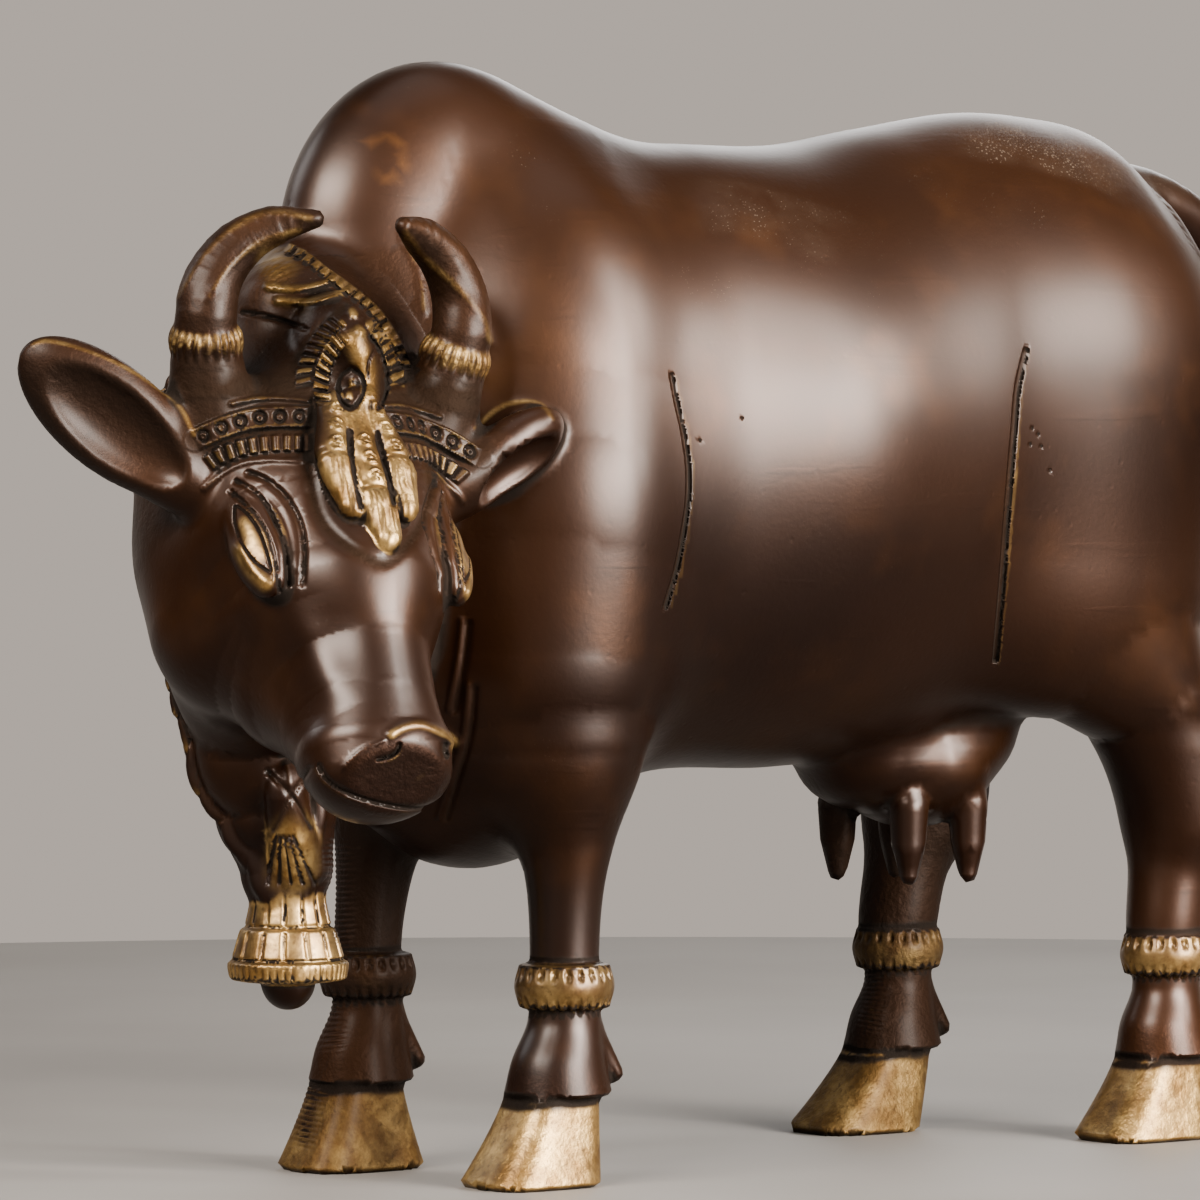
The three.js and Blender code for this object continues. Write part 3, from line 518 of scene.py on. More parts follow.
def horn_band(side):
    """A rounded band round the foot of a horn, with flutes across it all round."""
    centre, axis = np.array([-36.6, 1 + side * 23.4, 5.9]), unit([-0.58, side * 0.16, 0.8])
    radius, thick, half_height, flutes = 4.7, 1.7, 2.8, 22
    across = unit(np.cross(axis, [0, 0, 1]))
    other = np.cross(axis, across)

    def distance(p):
        offset = p - centre
        along, u, v = offset @ axis, offset @ across, offset @ other
        section = np.hypot(np.hypot(u, v) - radius, along * thick / half_height) - thick
        flute = (0.5 + 0.5 * np.cos(np.arctan2(v, u) * flutes)) ** 1.5
        return section + 0.5 * flute * np.clip(1.2 - np.abs(along) / half_height, 0, 1)

    reach = radius + thick
    return Field(distance, centre - reach, centre + reach)


def eye(side):
    """The low swelling of an eye under its lids."""
    along = unit([1, side * -0.08, 0.02])
    front = np.array([0, side * 0.82, 0.57])
    front = unit(front - (front @ along) * along)
    frame_of_eye = basis(along, np.cross(front, along), front, [0, side * 17.9, -2.6])
    return placed(mound([0, 0, 0], [9.5, 4.7, 2.6]), frame_of_eye)


for side in SIDES:
    add(horn(side), 3.5)
    add(horn_band(side), 0.6, brass=0.6, fine=True)
    add(eye(side), 2.5)


def ring_marks(along, across, pitch, radius):
    """The height of a row of punched rings with a boss in each, along and across the row."""
    u = (along / pitch - np.floor(along / pitch) - 0.5) * pitch
    r = np.hypot(u, across)
    return 0.45 * np.exp(-(((r - radius) / 0.32) ** 2)) + 0.35 * np.exp(-((r / 0.45) ** 2))


def ribs(along, pitch):
    """The height of rounded ribs, from 0 in their grooves to 1."""
    return np.abs(np.sin(math.pi * along / pitch)) ** 0.6


# The crest between the horns, and the boss on it.
add(mound([-36, 2.5, 4], [12.5, 7.4, 9.5]), 1.5, brass=0.3, fine=True)
add(mound([-35, 1.5, 12.5], [5.5, 3.6, 3.2]), 2.5, fine=True)

# The pendant's three lobes: how far to the left each is at its middle and at its tip, and where its tip is.
LOBES = [(-6.0, -3.8, -3.0), (5.4, 5.9, -3.0), (-0.4, 1.2, 3.5)]


def lobe(y, tip_y, foot):
    """One lobe of the pendant: three punched rings above a tip with fine strokes down it."""
    rows = [[-23, y * 0.55, 8.4, 2.2, 2.4, 2.6], [-12, y, 8.6, 3, 3.2, 2.6]]
    rows += [[foot - 6, (y + tip_y) / 2, 8, 3.4, 3.5, 2.8], [foot, tip_y, 7.4, 3, 2.5, 2.1]]
    plain = limb(rows)

    def distance(p):
        middle = np.interp(p[:, 0], [-23, -12, foot], [y * 0.55, y, tip_y])
        tip = foot - 8.5
        along = p[:, 0] - tip
        on_rings = (along < -0.6) & (along > -11)
        marks = np.where(on_rings, ring_marks(along, p[:, 1] - middle, 3.5, 1.0), 0)
        marks += np.where(along > 1.2, 0.05 * np.sin(2 * math.pi * p[:, 1] / 1.1), 0)
        waist = 0.5 * np.exp(-((along / 0.7) ** 2))
        upper = p[:, 2] > 7.5
        return plain(p) - marks * upper + waist

    return Field(distance, plain.low - 0.6, plain.high + 0.6)


for lobe_places in LOBES:
    add(lobe(*lobe_places), 0.9, brass=1.0, fine=True)
for form in FORMS[head_start:]:
    form.field = placed(form.field, HEAD_FRAME)

# The garland round the neck: a ribbed band with a beaded edge, in an upright plane between neck and head.
GARLAND_TURN, GARLAND_AWAY, GARLAND_HALF, GARLAND_RAISED = math.radians(37), -66, 4.6, 1.8
GARLAND_RADIUS = 26
GARLAND_EYE = np.array([-108.0, -1.0, 118.0])
garland_neck = [Form(neck, 1), Form(dewlap, 8)]


def garland(p):
    """Distance to the band, whose ribs are spaced as on a circle of GARLAND_RADIUS."""
    off = p[:, 0] * math.sin(GARLAND_TURN) + p[:, 1] * math.cos(GARLAND_TURN) - GARLAND_AWAY
    around = (p - GARLAND_EYE) @ [math.cos(GARLAND_TURN), -math.sin(GARLAND_TURN), 0]
    angle = np.arctan2(around, p[:, 2] - GARLAND_EYE[2])
    beads = 0.5 * ribs(angle * GARLAND_RADIUS, 2.4) * np.exp(-(((np.abs(off) - 3.7) / 0.9) ** 2))
    fan = 0.45 * ribs(angle * GARLAND_RADIUS + off * 0.35, 2.9) * np.exp(-((off / 2.2) ** 2))
    over = combined(garland_neck, p) - GARLAND_RAISED
    return carve(over, GARLAND_HALF - np.abs(off), 1) - beads - fan + 0.25


add(Field(garland, [-138, -34, 50], [-80, 22, 166]), 0.6, brass=0.1, fine=True)

tassel = limb([[-112.5, -9, 70, 4, 3.2, 5], [-110, -7, 62, 4.4, 3.6, 4], [-107, -4, 56, 5.4, 4.6, 3]])
add(tassel, 1.2, brass=0.12, fine=True)
BELL_X, BELL_TOP, BELL_RIM = -106, 54.5, 37
BELL_GROOVES, BELL_NICKS = 14, 48
bell_body = loft([
    [BELL_RIM, BELL_X, 0, 10.3, 10.3], [39.5, BELL_X, 0, 10.6, 10.6], [40.5, BELL_X, 0, 9.9, 9.9],
    [45.4, BELL_X, 0, 8.4, 8.4], [46.4, BELL_X, 0, 7.6, 7.6], [53, BELL_X, 0, 6, 6],
    [BELL_TOP + 1, BELL_X, 0, 4.5, 4.5],
], ALONG_Z, 1, 2)


def bell(p):
    """Two tiers with flat panels and grooves between them, over a rim with fine nicks."""
    angle = np.arctan2(p[:, 1], p[:, 0] - BELL_X)
    z = p[:, 2]
    grooves = 0.5 * np.abs(np.cos(angle * BELL_GROOVES / 2)) ** 22
    nicks = 0.35 * np.abs(np.cos(angle * BELL_NICKS / 2)) ** 6
    tier = np.interp(z, [40.3, 41, 45, 45.6, 47, 53, 54], [0, 1, 1, 0, 1, 1, 0])
    rim = np.interp(z, [36, 36.5, 39, 40], [0, 1, 0.6, 0])
    seam = 0.5 * (np.exp(-(((z - 40.3) / 0.35) ** 2)) + np.exp(-(((z - 46) / 0.4) ** 2)))
    return bell_body(p) + grooves * tier + nicks * rim + seam


add(Field(bell, bell_body.low, bell_body.high), 1.2, brass=1.0, fine=True)
add(mound([BELL_X, 0, 36.5], [4.8, 4.8, 5.2]), 0.5, brass=0.25)


# Relief drawn on the skin as it is seen in the picture, in 1200ths of the picture, x to the right and y down

CAMERA_DISTANCE, CAMERA_TURN, CAMERA_HEIGHT, CAMERA_ASIDE = 1110, math.radians(37), 110, 30.1
PICTURE_SIDE, PICTURE_SCALE, HORIZON = 1200, 5985, 560
SIGHT = np.array([math.sin(CAMERA_TURN), math.cos(CAMERA_TURN), 0])
RIGHTWARD = np.array([SIGHT[1], -SIGHT[0], 0])


def seen(p):
    """Where the points show in the picture."""
    scale = PICTURE_SCALE / (CAMERA_DISTANCE + p @ SIGHT)
    across = PICTURE_SIDE / 2 + (p @ RIGHTWARD + CAMERA_ASIDE) * scale
    return np.stack([across, HORIZON + (CAMERA_HEIGHT - p[:, 2]) * scale], 1)


def smooth(low, high, value):
    """From 0 at low to 1 at high, with no kink at either."""
    t = np.clip((value - low) / (high - low), 0, 1)
    return t * t * (3 - 2 * t)


def beside(line, at):
    """How far each place is to the side of a line, and how far along it."""
    off, along, start = np.full(len(at), 1e3), np.zeros(len(at)), 0.0
    for a, b in zip(line[:-1], line[1:]):
        step = b - a
        length = np.hypot(*step)
        t = np.clip((at - a) @ step / length**2, 0, 1)
        gap = at - a - t[:, None] * step
        d = np.hypot(gap[:, 0], gap[:, 1])
        closer = d < np.abs(off)
        off[closer] = (d * np.sign(step[0] * gap[:, 1] - step[1] * gap[:, 0] + 1e-9))[closer]
        along[closer] = (start + t * length)[closer]
        start += length
    return off, along


# How far round a stroke, in picture units, the triangles are halved once, twice and three times.
STROKE_MARGINS = [8, 3, 1]


class Stroke:
    """A stroke of relief, half its width in picture units and its height in millimetres.

    Brass and dirt paint it, over what was there before. A flat one has steep sides, and a pattern adds to its
    height. Its level is how often its triangles are halved, and its ends taper unless it is closed.
    """

    def __init__(
        self, line, half, height=0.0, brass=None, dirt=None, flat=False, pattern=None, level=2, closed=False
    ):
        self.line = smooth_curve(np.array(line, float), 4)
        self.whole = np.hypot(*np.diff(self.line, axis=0).T).sum()
        margin = 2.2 * half + STROKE_MARGINS[0]
        self.low, self.high = self.line.min(0) - margin, self.line.max(0) + margin
        self.half, self.height, self.pattern = half, height, pattern
        self.brass, self.dirt = brass or 0, dirt or 0
        self.paints = not (brass is None and dirt is None)
        self.flat, self.closed = flat, closed
        self.level = level if height else 0

    def __call__(self, at):
        """How far it rises, how well it covers, and how far outside it each place of the picture is."""
        out = np.zeros((3, len(at)))
        near = within(at, self.low, self.high)
        if near.any():
            off, along = beside(self.line, at[near])
            across = np.abs(off) / self.half
            cover = 1 - smooth(0.8, 1.15, across) if self.flat else np.exp(-1.2 * across**2)
            if not self.closed:
                cover = cover * smooth(-0.3, 1.6, np.minimum(along, self.whole - along) / self.half)
            rise = self.height if self.pattern is None else self.height + self.pattern(along, off)
            out[:, near] = rise * cover, cover, np.abs(off) - (1.15 if self.flat else 1.35) * self.half
        out[2, ~near] = 1e3
        return out


def rings(pitch, radius):
    """A row of punched rings."""

    def height(along, off):
        u = (along / pitch - np.floor(along / pitch) - 0.5) * pitch
        r = np.hypot(u, off)
        ring = np.exp(-(((r - radius) / 1.9) ** 2))
        boss = np.exp(-((r / 1.8) ** 2))
        border = np.exp(-(((np.abs(off) - radius - 5) / 2) ** 2))
        return -0.6 * ring - 0.3 * boss + 0.25 * border

    return height


def ribbed(pitch, depth, lean=0.0):
    """Rounded ribs across the stroke."""

    def height(along, off):
        return -depth * (0.5 + 0.5 * np.cos(2 * math.pi * (along + lean * off) / pitch)) ** 1.4

    return height


class Drawing:
    """Strokes laid on the skin inside a box of a frame, and on its other side alike if asked."""

    def __init__(self, frame, low, high, strokes, both_sides=False):
        self.axes, self.origin = frame[:3, :3], frame[:3, 3]
        self.inner_low, self.inner_high = np.array(low, float), np.array(high, float)
        self.strokes, self.both_sides = strokes, both_sides
        if both_sides:
            high = [high[0], -low[1], high[2]]
        self.low, self.high = turned_box(low, high, self.axes, self.origin)

    def drawn(self, p):
        """Which points are inside, and what each stroke does there."""
        q = (p - self.origin) @ self.axes
        if self.both_sides:
            q[:, 1] = -np.abs(q[:, 1])
        inside = within(q, self.inner_low, self.inner_high)
        at = seen(q[inside] @ self.axes.T + self.origin)
        return inside, [one(at) for one in self.strokes]

    def __call__(self, p):
        """How far the relief rises at each point."""
        inside, drawn = self.drawn(p)
        out = np.zeros(len(p))
        out[inside] = sum(rise for rise, _, _ in drawn)
        return out

    def wants(self, p, wanted):
        """Whether each point is on or near a stroke that wants triangles that fine."""
        inside, drawn = self.drawn(p)
        out = np.zeros(len(p), bool)
        for one, (_, _, outside) in zip(self.strokes, drawn):
            if one.level >= wanted:
                out[inside] |= outside < STROKE_MARGINS[wanted - 1]
        return out

    def paint(self, p, masks):
        """The masks of brass and dirt, painted over by each stroke in turn."""
        inside, drawn = self.drawn(p)
        for one, (_, cover, _) in zip(self.strokes, drawn):
            if one.paints:
                for mask, shown in zip(masks, (one.brass, one.dirt)):
                    mask[inside] += (shown - mask[inside]) * cover


def drawn_near(depth_low, depth_high, strokes):
    """Strokes on the skin that lies between two depths of the picture."""
    frame = basis(RIGHTWARD, [0, 0, 1], SIGHT, [0, 0, 0])
    return Drawing(frame, [-180, -5, depth_low], [120, 205, depth_high], strokes)


HEADBAND_RINGS = [(194, 441), (208, 434), (222, 428), (240, 422), (260, 418), (285, 417), (314, 417)]
HEADBAND_RIBS = [(206, 466), (218, 457), (232, 451), (250, 446), (275, 443), (314, 443)]
BROW_GROOVES = [
    [(244, 472), (258, 476), (273, 485), (287, 499), (298, 518), (303, 537), (304, 560), (302, 588)],
    [(233, 480), (247, 487), (260, 497), (271, 514), (279, 533), (285, 552), (289, 588)],
    [(228, 490), (241, 501), (255, 514), (266, 532), (273, 553), (279, 594)],
]
LID_GROOVES = [
    [(236, 505), (248, 515), (259, 531), (266, 550), (272, 573)],
    [(235, 505), (235, 523), (242, 544), (255, 562), (272, 574)],
]
# The headband, the eye and the brow, drawn on the near half of the face.
face = [
    Stroke([(150, 384), (230, 386), (350, 386)], 30, dirt=1.0),
    Stroke([(150, 440), (230, 432), (350, 432)], 36, dirt=0.9),
    Stroke(HEADBAND_RINGS, 11, 0.8, brass=0.15, dirt=0.5, flat=True, pattern=rings(20, 5.3), level=3),
    Stroke(HEADBAND_RIBS, 8.5, 0.8, brass=0.32, dirt=0.4, flat=True, pattern=ribbed(11.5, 0.7), level=3),
    Stroke([(228, 405), (250, 400), (275, 398), (312, 401)], 3, 0.5, brass=0.25, dirt=0.5),
    Stroke([(200, 492), (222, 474), (240, 464), (262, 460), (314, 461)], 3.5, 0.35, brass=0.2, dirt=0.3),
    Stroke([(240, 550), (251, 569), (265, 583)], 10, 0.9, brass=1.0, closed=True),
    Stroke([(240, 512), (250, 535), (266, 566)], 9, 0.3, brass=1.0),
    Stroke([(246, 504), (262, 528), (270, 552), (276, 585)], 4, 0.3, brass=0.6),
    Stroke([(240, 484), (262, 499), (279, 524), (286, 560)], 4.5, 0.25, brass=0.25),
    Stroke([(262, 487), (281, 505), (292, 530), (297, 575)], 5, 0.2, brass=0.15),
]
face += [Stroke(line, 3.2 - 0.5 * k, -0.6, dirt=0.45) for k, line in enumerate(BROW_GROOVES)]
face += [Stroke(line, 1.5, -0.4, dirt=0.5, level=3) for line in LID_GROOVES]
add(Drawing(HEAD_FRAME, [-44, -29, -16], [24, 0.1, 30], face, both_sides=True), 0, relief=True)

PENDANT_EDGE = [(313, 412), (308, 445), (312, 485), (322, 520), (348, 546)]
PENDANT_EDGE += [(384, 563), (406, 545), (429, 505), (431, 455)]
SCALLOPS_OUTER = [(344, 317), (327, 331), (313, 350), (305, 369), (303, 392)]
SCALLOPS_INNER = [(345, 331), (332, 350), (324, 368), (321, 387), (324, 406)]
OVAL = [(351, 369), (361, 376), (364, 389), (359, 402), (350, 408)]
OVAL += [(341, 402), (338, 389), (342, 376), (351, 369)]
BEADS = [(285, 246), (305, 256), (326, 272), (351, 290), (373, 308), (388, 328), (399, 347), (409, 373)]
FAN = [(371, 312), (381, 332), (389, 352), (394, 370), (396, 394)]
MUZZLE_LIP = [(385, 740), (394, 733), (406, 727), (421, 725), (436, 730), (448, 736), (456, 743), (460, 752)]
MUZZLE_EDGE = [(340, 771), (348, 763), (361, 751), (375, 744), (387, 739)]
MOUTH = [(318, 763), (326, 778), (338, 788), (355, 796), (375, 802), (394, 806), (420, 808), (446, 800)]
EAR_RIM = [(476, 500), (494, 494), (513, 486), (541, 463), (558, 434), (547, 412), (512, 401), (484, 415)]
ornaments = [
    Stroke([(330, 345), (318, 370), (300, 392)], 16, dirt=0.9),
    Stroke([(415, 385), (440, 398), (462, 415)], 24, dirt=0.9),
    Stroke([(160, 360), (200, 372), (240, 372)], 18, dirt=0.7),
    Stroke([(430, 345), (426, 370)], 16, dirt=0.8),
    Stroke([(240, 262), (275, 262), (312, 284)], 26, 0.1, brass=0.7, pattern=ribbed(7, 0.12, 0.8)),
    Stroke([(250, 300), (285, 303), (322, 315)], 12, brass=0.35),
    Stroke([(262, 286), (295, 289), (322, 284), (340, 278)], 4, 0.6, brass=0.9),
    Stroke([(272, 300), (305, 302), (332, 296), (350, 288)], 4, 0.6, brass=0.9),
    Stroke([(240, 312), (280, 320), (310, 331)], 2.5, -0.5, dirt=0.8),
    Stroke([(357, 299), (330, 320), (308, 345), (290, 376)], 7, -0.3, dirt=1.0),
    Stroke(PENDANT_EDGE, 7, -0.45, dirt=0.9),
    Stroke(BEADS, 5, 0.6, brass=0.6, flat=True, pattern=ribbed(10.5, 0.6, 0.2), level=3),
    Stroke(FAN, 10.5, 0.7, brass=0.95, flat=True, pattern=ribbed(15.5, 1.0, -0.25), level=3),
    Stroke(SCALLOPS_OUTER, 8, 0.5, brass=0.3, dirt=0.3, flat=True, pattern=ribbed(10.5, 0.7, -0.3), level=3),
    Stroke(SCALLOPS_INNER, 8, 0.6, brass=0.8, flat=True, pattern=ribbed(9.5, 0.7, 0.3), level=3),
    Stroke([(354, 342), (361, 356), (366, 376), (366, 392)], 17, 1.2, brass=1.0, closed=True),
    Stroke([(368, 334), (380, 352), (386, 374), (385, 395), (376, 412)], 2.4, -0.7, dirt=0.8),
    Stroke([(351, 376), (350, 401)], 11, -0.1, brass=0.2, dirt=0.25, flat=True, closed=True),
    Stroke(OVAL, 2, -0.5, dirt=0.8, closed=True, level=3),
    Stroke([(352, 381), (352, 384)], 4.6, 0.5, brass=0.7, closed=True, level=3),
    Stroke([(349, 394), (349, 397)], 4.6, 0.5, brass=0.7, closed=True, level=3),
    Stroke([(376, 348), (369, 362), (367, 380)], 1.6, -0.3, dirt=0.5),
    Stroke([(352, 311), (354, 314)], 6, 0.8, brass=0.9, closed=True),
    Stroke([(359, 329), (361, 332)], 5, 0.7, brass=1.0, closed=True),
    Stroke([(341, 322), (342, 324)], 4.5, 0.6, brass=0.7, closed=True),
    Stroke([(349, 428), (353, 470), (362, 512)], 2.6, -0.5, dirt=0.7),
    Stroke([(376, 430), (386, 470), (394, 508)], 2.6, -0.5, dirt=0.7),
    Stroke([(296, 600), (314, 655), (344, 712)], 26, 0.9),
    Stroke([(350, 785), (385, 770), (430, 765)], 26, brass=0.1, dirt=0.1),
    Stroke([(408, 786), (434, 768)], 8, brass=0.35, dirt=0.15),
    Stroke(MUZZLE_LIP, 6, 0.5, brass=0.85),
    Stroke(MUZZLE_EDGE, 3, 0.25, brass=0.3),
    Stroke([(400, 742), (397, 751), (388, 757), (374, 760)], 2, -0.7, dirt=0.5, level=3),
    Stroke([(445, 741), (444, 750), (447, 760)], 2.8, -0.9, dirt=0.6, level=3),
    Stroke(MOUTH, 2.6, -0.6, dirt=0.4),
    Stroke([(172, 306), (203, 257), (235, 227), (270, 212), (320, 220)], 6, 0.25, brass=0.5, level=1),
    Stroke([(205, 304), (229, 268), (260, 242), (305, 229)], 4.5, 0.2, brass=0.5, level=1),
    Stroke([(400, 225), (425, 258), (459, 289), (484, 320), (492, 350)], 6, 0.25, brass=0.5, level=1),
    Stroke([(400, 235), (419, 273), (425, 316)], 4, 0.2, brass=0.5, level=1),
    Stroke([(264, 768), (292, 798), (312, 832)], 3, -0.4, dirt=0.6),
    Stroke([(312, 765), (290, 800), (272, 834)], 3, -0.4, dirt=0.6),
    Stroke([(286, 758), (291, 790)], 5, 0.4, brass=0.3),
    Stroke([(290, 846), (289, 870)], 30, brass=0.8, closed=True),
    Stroke([(28, 348), (45, 341), (90, 352), (140, 376), (180, 408), (196, 440)], 4, 0.1, brass=0.7),
    Stroke([(470, 432), (505, 405), (540, 404), (556, 424)], 4, 0.1, brass=0.6),
    Stroke(EAR_RIM, 6, 0.02, closed=True),
]
ornaments += [Stroke([(284 + 4 * k, 834), (291 + 12 * k, 886)], 1.9, -0.4, dirt=0.3) for k in range(-2, 3)]
add(drawn_near(-150, -62, ornaments), 0, relief=True)

# The folds of the dewlap beside the muzzle.
folds = [
    Stroke([(462, 615), (457, 660), (447, 715)], 4, 0.3, brass=0.2),
    Stroke([(469, 618), (464, 662), (454, 716)], 4.5, -0.4, dirt=0.4),
    Stroke([(468, 680), (463, 735), (450, 780), (437, 822)], 4, 0.3, brass=0.2),
    Stroke([(475, 683), (470, 735), (457, 780), (444, 824)], 4.5, -0.4, dirt=0.4),
]
add(drawn_near(-90, -50, folds), 0, relief=True)

# The scored lines behind the shoulder and in front of the thigh, and the pits near them.
SHOULDER_LINE = [(671, 372), (677, 404), (684, 435), (688, 466)]
SHOULDER_LINE += [(688, 497), (684, 528), (676, 570), (664, 610)]
FLANK_LINE = [(1027, 347), (1018, 385), (1014, 430), (1008, 500), (1002, 581), (995, 664)]
PITS = [(1032, 428), (1038, 434), (1030, 444), (1041, 446), (700, 440), (742, 418), (1050, 470)]
scored = [
    Stroke(SHOULDER_LINE, 2.4, -0.6, dirt=0.6, flat=True, level=3),
    Stroke(FLANK_LINE, 3, -0.7, dirt=0.6, flat=True, level=3),
]
scored += [Stroke([(x, y), (x, y + 1)], 1.3, -0.3, dirt=0.6, closed=True, level=3) for x, y in PITS]
add(Drawing(np.eye(4), [-66, -60, 66], [66, 0.1, 165], scored, both_sides=True), 0, relief=True)

# File marks on the legs.
rasped = [
    Stroke([(337, 835), (339, 890), (343, 950)], 12, 0.1, brass=0.25, pattern=ribbed(5.6, 0.25), level=3),
    Stroke([(331, 988), (330, 1025), (333, 1056)], 12, 0.1, brass=0.3, pattern=ribbed(5.6, 0.25), level=3),
    Stroke([(316, 1076), (309, 1112), (300, 1152)], 11, 0.1, brass=0.5, pattern=ribbed(5.6, 0.25), level=3),
    Stroke([(872, 966), (873, 1000), (868, 1036)], 10, 0.1, brass=0.3, pattern=ribbed(5, 0.3), level=3),
]
add(drawn_near(-80, 80, rasped), 0, relief=True)

# Meshing


def lattice(low, counts, step):
    """The points of a grid."""
    axes = [low[n] + step * np.arange(counts[n]) for n in range(3)]
    return np.stack(np.meshgrid(*axes, indexing="ij"), -1).reshape(-1, 3)


def skin():
    """The casting's surface as triangles, read off a grid of distances that is filled in near the surface."""
    solid = [form.field for form in FORMS if not form.carved and not form.relief]
    low = np.min([field.low for field in solid], axis=0) - 3
    high = np.max([field.high for field in solid], axis=0) + 3
    block = 4
    counts = np.ceil((high - low) / (CELL * block)).astype(int) + 1
    coarse = combined(FORMS, lattice(low, counts, CELL * block)).reshape(counts)
    # The fine points are worked out wherever the surface may pass through a coarse point's block.
    near = np.abs(coarse) < CELL * block * 1.8 + 1
    values = np.repeat(np.repeat(np.repeat(coarse, block, 0), block, 1), block, 2)
    filled = np.repeat(np.repeat(np.repeat(near, block, 0), block, 1), block, 2)
    where = np.argwhere(filled)
    # Each coarse point stands for the block around it, so the fine points start half a block lower.
    start = low - CELL * (block - 1) / 2
    values[filled] = combined(FORMS, start + where * CELL)
    grid = openvdb.FloatGrid(float(REACH))
    grid.copyFromArray(np.ascontiguousarray(values, np.float32))
    points, quads = grid.convertToQuads(isovalue=0)
    triangles = np.vstack([quads[:, [0, 1, 2]], quads[:, [0, 2, 3]]]).astype(np.int64)
    points = start + points.astype(float) * CELL
    a, b, c = (points[triangles[:, n]] for n in range(3))
    if (np.cross(a, b) * c).sum() < 0:
        triangles = triangles[:, ::-1]
    return points, triangles


def refined(points, triangles, marked):
    """Every marked triangle in four, and its neighbours in two or three so that no gap opens."""
    count = len(points)
    ends = np.sort(triangles[:, [[0, 1], [1, 2], [2, 0]]].reshape(-1, 2), axis=1)
    edges, which = np.unique(ends[:, 0] * count + ends[:, 1], return_inverse=True)
    which = which.reshape(-1, 3)
    split = np.zeros(len(edges), bool)
    split[which[marked]] = True
    middles = np.full(len(edges), -1)
    middles[split] = count + np.arange(split.sum())
    points = np.vstack([points, (points[edges[split] // count] + points[edges[split] % count]) / 2])
    m = middles[which]
    number = (m >= 0).sum(1)
    out = [triangles[number == 0]]
    for kind in (1, 2, 3):
        t, mids = triangles[number == kind], m[number == kind]
        # Turned so that the first edge is the split one, or the last edge the whole one.
        turn = {1: (mids >= 0).argmax(1), 2: ((mids < 0).argmax(1) + 1) % 3, 3: np.zeros(len(t), int)}[kind]
        order = (turn[:, None] + np.arange(3)) % 3
        a, b, c = np.take_along_axis(t, order, 1).T
        ab, bc, ca = np.take_along_axis(mids, order, 1).T
        parts = {
            1: [(a, ab, c), (ab, b, c)],
            2: [(ab, b, bc), (a, ab, bc), (a, bc, c)],
            3: [(a, ab, ca), (ab, b, bc), (ca, bc, c), (ab, bc, ca)],
        }[kind]
        out += [np.stack(part, 1) for part in parts]
    return points, np.vstack(out)


SLOPE_STEP = 0.06
CORNERS = np.array([[1, -1, -1], [-1, -1, 1], [-1, 1, -1], [1, 1, 1]], float)


def slope(points):
    """The distance at each point and how it grows in each direction."""
    values = [combined(FORMS, points + SLOPE_STEP * corner) for corner in CORNERS]
    gradient = sum(np.outer(value, corner) for value, corner in zip(values, CORNERS)) / (4 * SLOPE_STEP)
    return np.mean(values, axis=0), gradient


LONGEST_MOVE = 0.6


def settled(points):
    """The points moved onto the surface, in two steps."""
    points = points.copy()
    for _ in range(2):
        distance, gradient = slope(points)
        size = np.maximum((gradient**2).sum(1), 0.2)
        move = np.clip(distance / size, -LONGEST_MOVE, LONGEST_MOVE)
        points -= gradient * move[:, None]
    return points


def shortfall(form, points):
    """The distance to one form, and a large number far from it."""
    out = np.full(len(points), 9.0)
    near = within(points, form.field.low - 3, form.field.high + 3)
    if near.any():
        out[near] = form.field(points[near])
    return out


def from_eyes(p):
    """The points in the head's own frame."""
    return (p - EYES_CENTRE) @ HEAD_FRAME[:3, :3]


# The skin that is halved once wherever it is: the head, as a box in its own frame, and the feet.
HEAD_MIDDLE, HEAD_HALF = [-5, 0, 0], [55, 60, 35]
HEAD_BACK, FEET_TOP = -90, 42
# How near a fine form its triangles are halved.
FINE_MARGIN = 0.75


def too_coarse(points, wanted):
    """Whether the triangles round these points are halved a first, second or third time."""
    on_head = (np.abs(from_eyes(points) - HEAD_MIDDLE) < HEAD_HALF).all(1) & (points[:, 0] < HEAD_BACK)
    halved = (on_head | (points[:, 2] < FEET_TOP)) & (wanted == 1)
    for form in FORMS:
        if form.relief:
            halved |= form.field.wants(points, wanted)
        elif form.fine and wanted < 3:
            halved |= shortfall(form, points) < FINE_MARGIN
    return halved


points, triangles = skin()
points = settled(points)
for wanted in (1, 2, 3):
    points, triangles = refined(points, triangles, too_coarse(points[triangles].mean(1), wanted))
    points = settled(points)
_, gradient = slope(points)
normals = gradient / np.maximum(np.linalg.norm(gradient, axis=1), 1e-6)[:, None]
points[:, 2] = np.maximum(points[:, 2], 0)

# Where the casting is worn to brass, where dirt has stayed, and where shade is painted


def sunken(depth):
    """How far each point lies in a hollow of that depth, 0 on open skin."""
    return np.clip(1 - combined(FORMS, points + normals * depth) / depth, 0, 1)


def proud(depth):
    """How sharply the skin stands out at each point, 0 on open skin."""
    return np.clip(1 + combined(FORMS, points - normals * depth) / depth, 0, 1)


brassy, grime_and_shade = np.zeros(len(points)), np.zeros(len(points))
for form in FORMS:
    if form.relief:
        form.field.paint(points, (brassy, grime_and_shade))
    elif form.brass:
        shown = form.brass * (1 - smooth(0.1, 0.7, shortfall(form, points)))
        shown *= smooth(form.brass_below + 0.5, form.brass_below - 0.5, points[:, 2])
        brassy = np.maximum(brassy, shown)
hollow = np.maximum(smooth(0.12, 0.6, sunken(0.7)), smooth(0.25, 0.8, sunken(2.5)))
edge = smooth(0.15, 0.6, proud(1.2))
brass = np.clip(brassy * (1 - 0.85 * hollow) * (0.75 + 0.5 * edge) + 0.3 * edge * (1 - hollow), 0, 1)
brass[points[:, 2] < 0.05] = 0.3
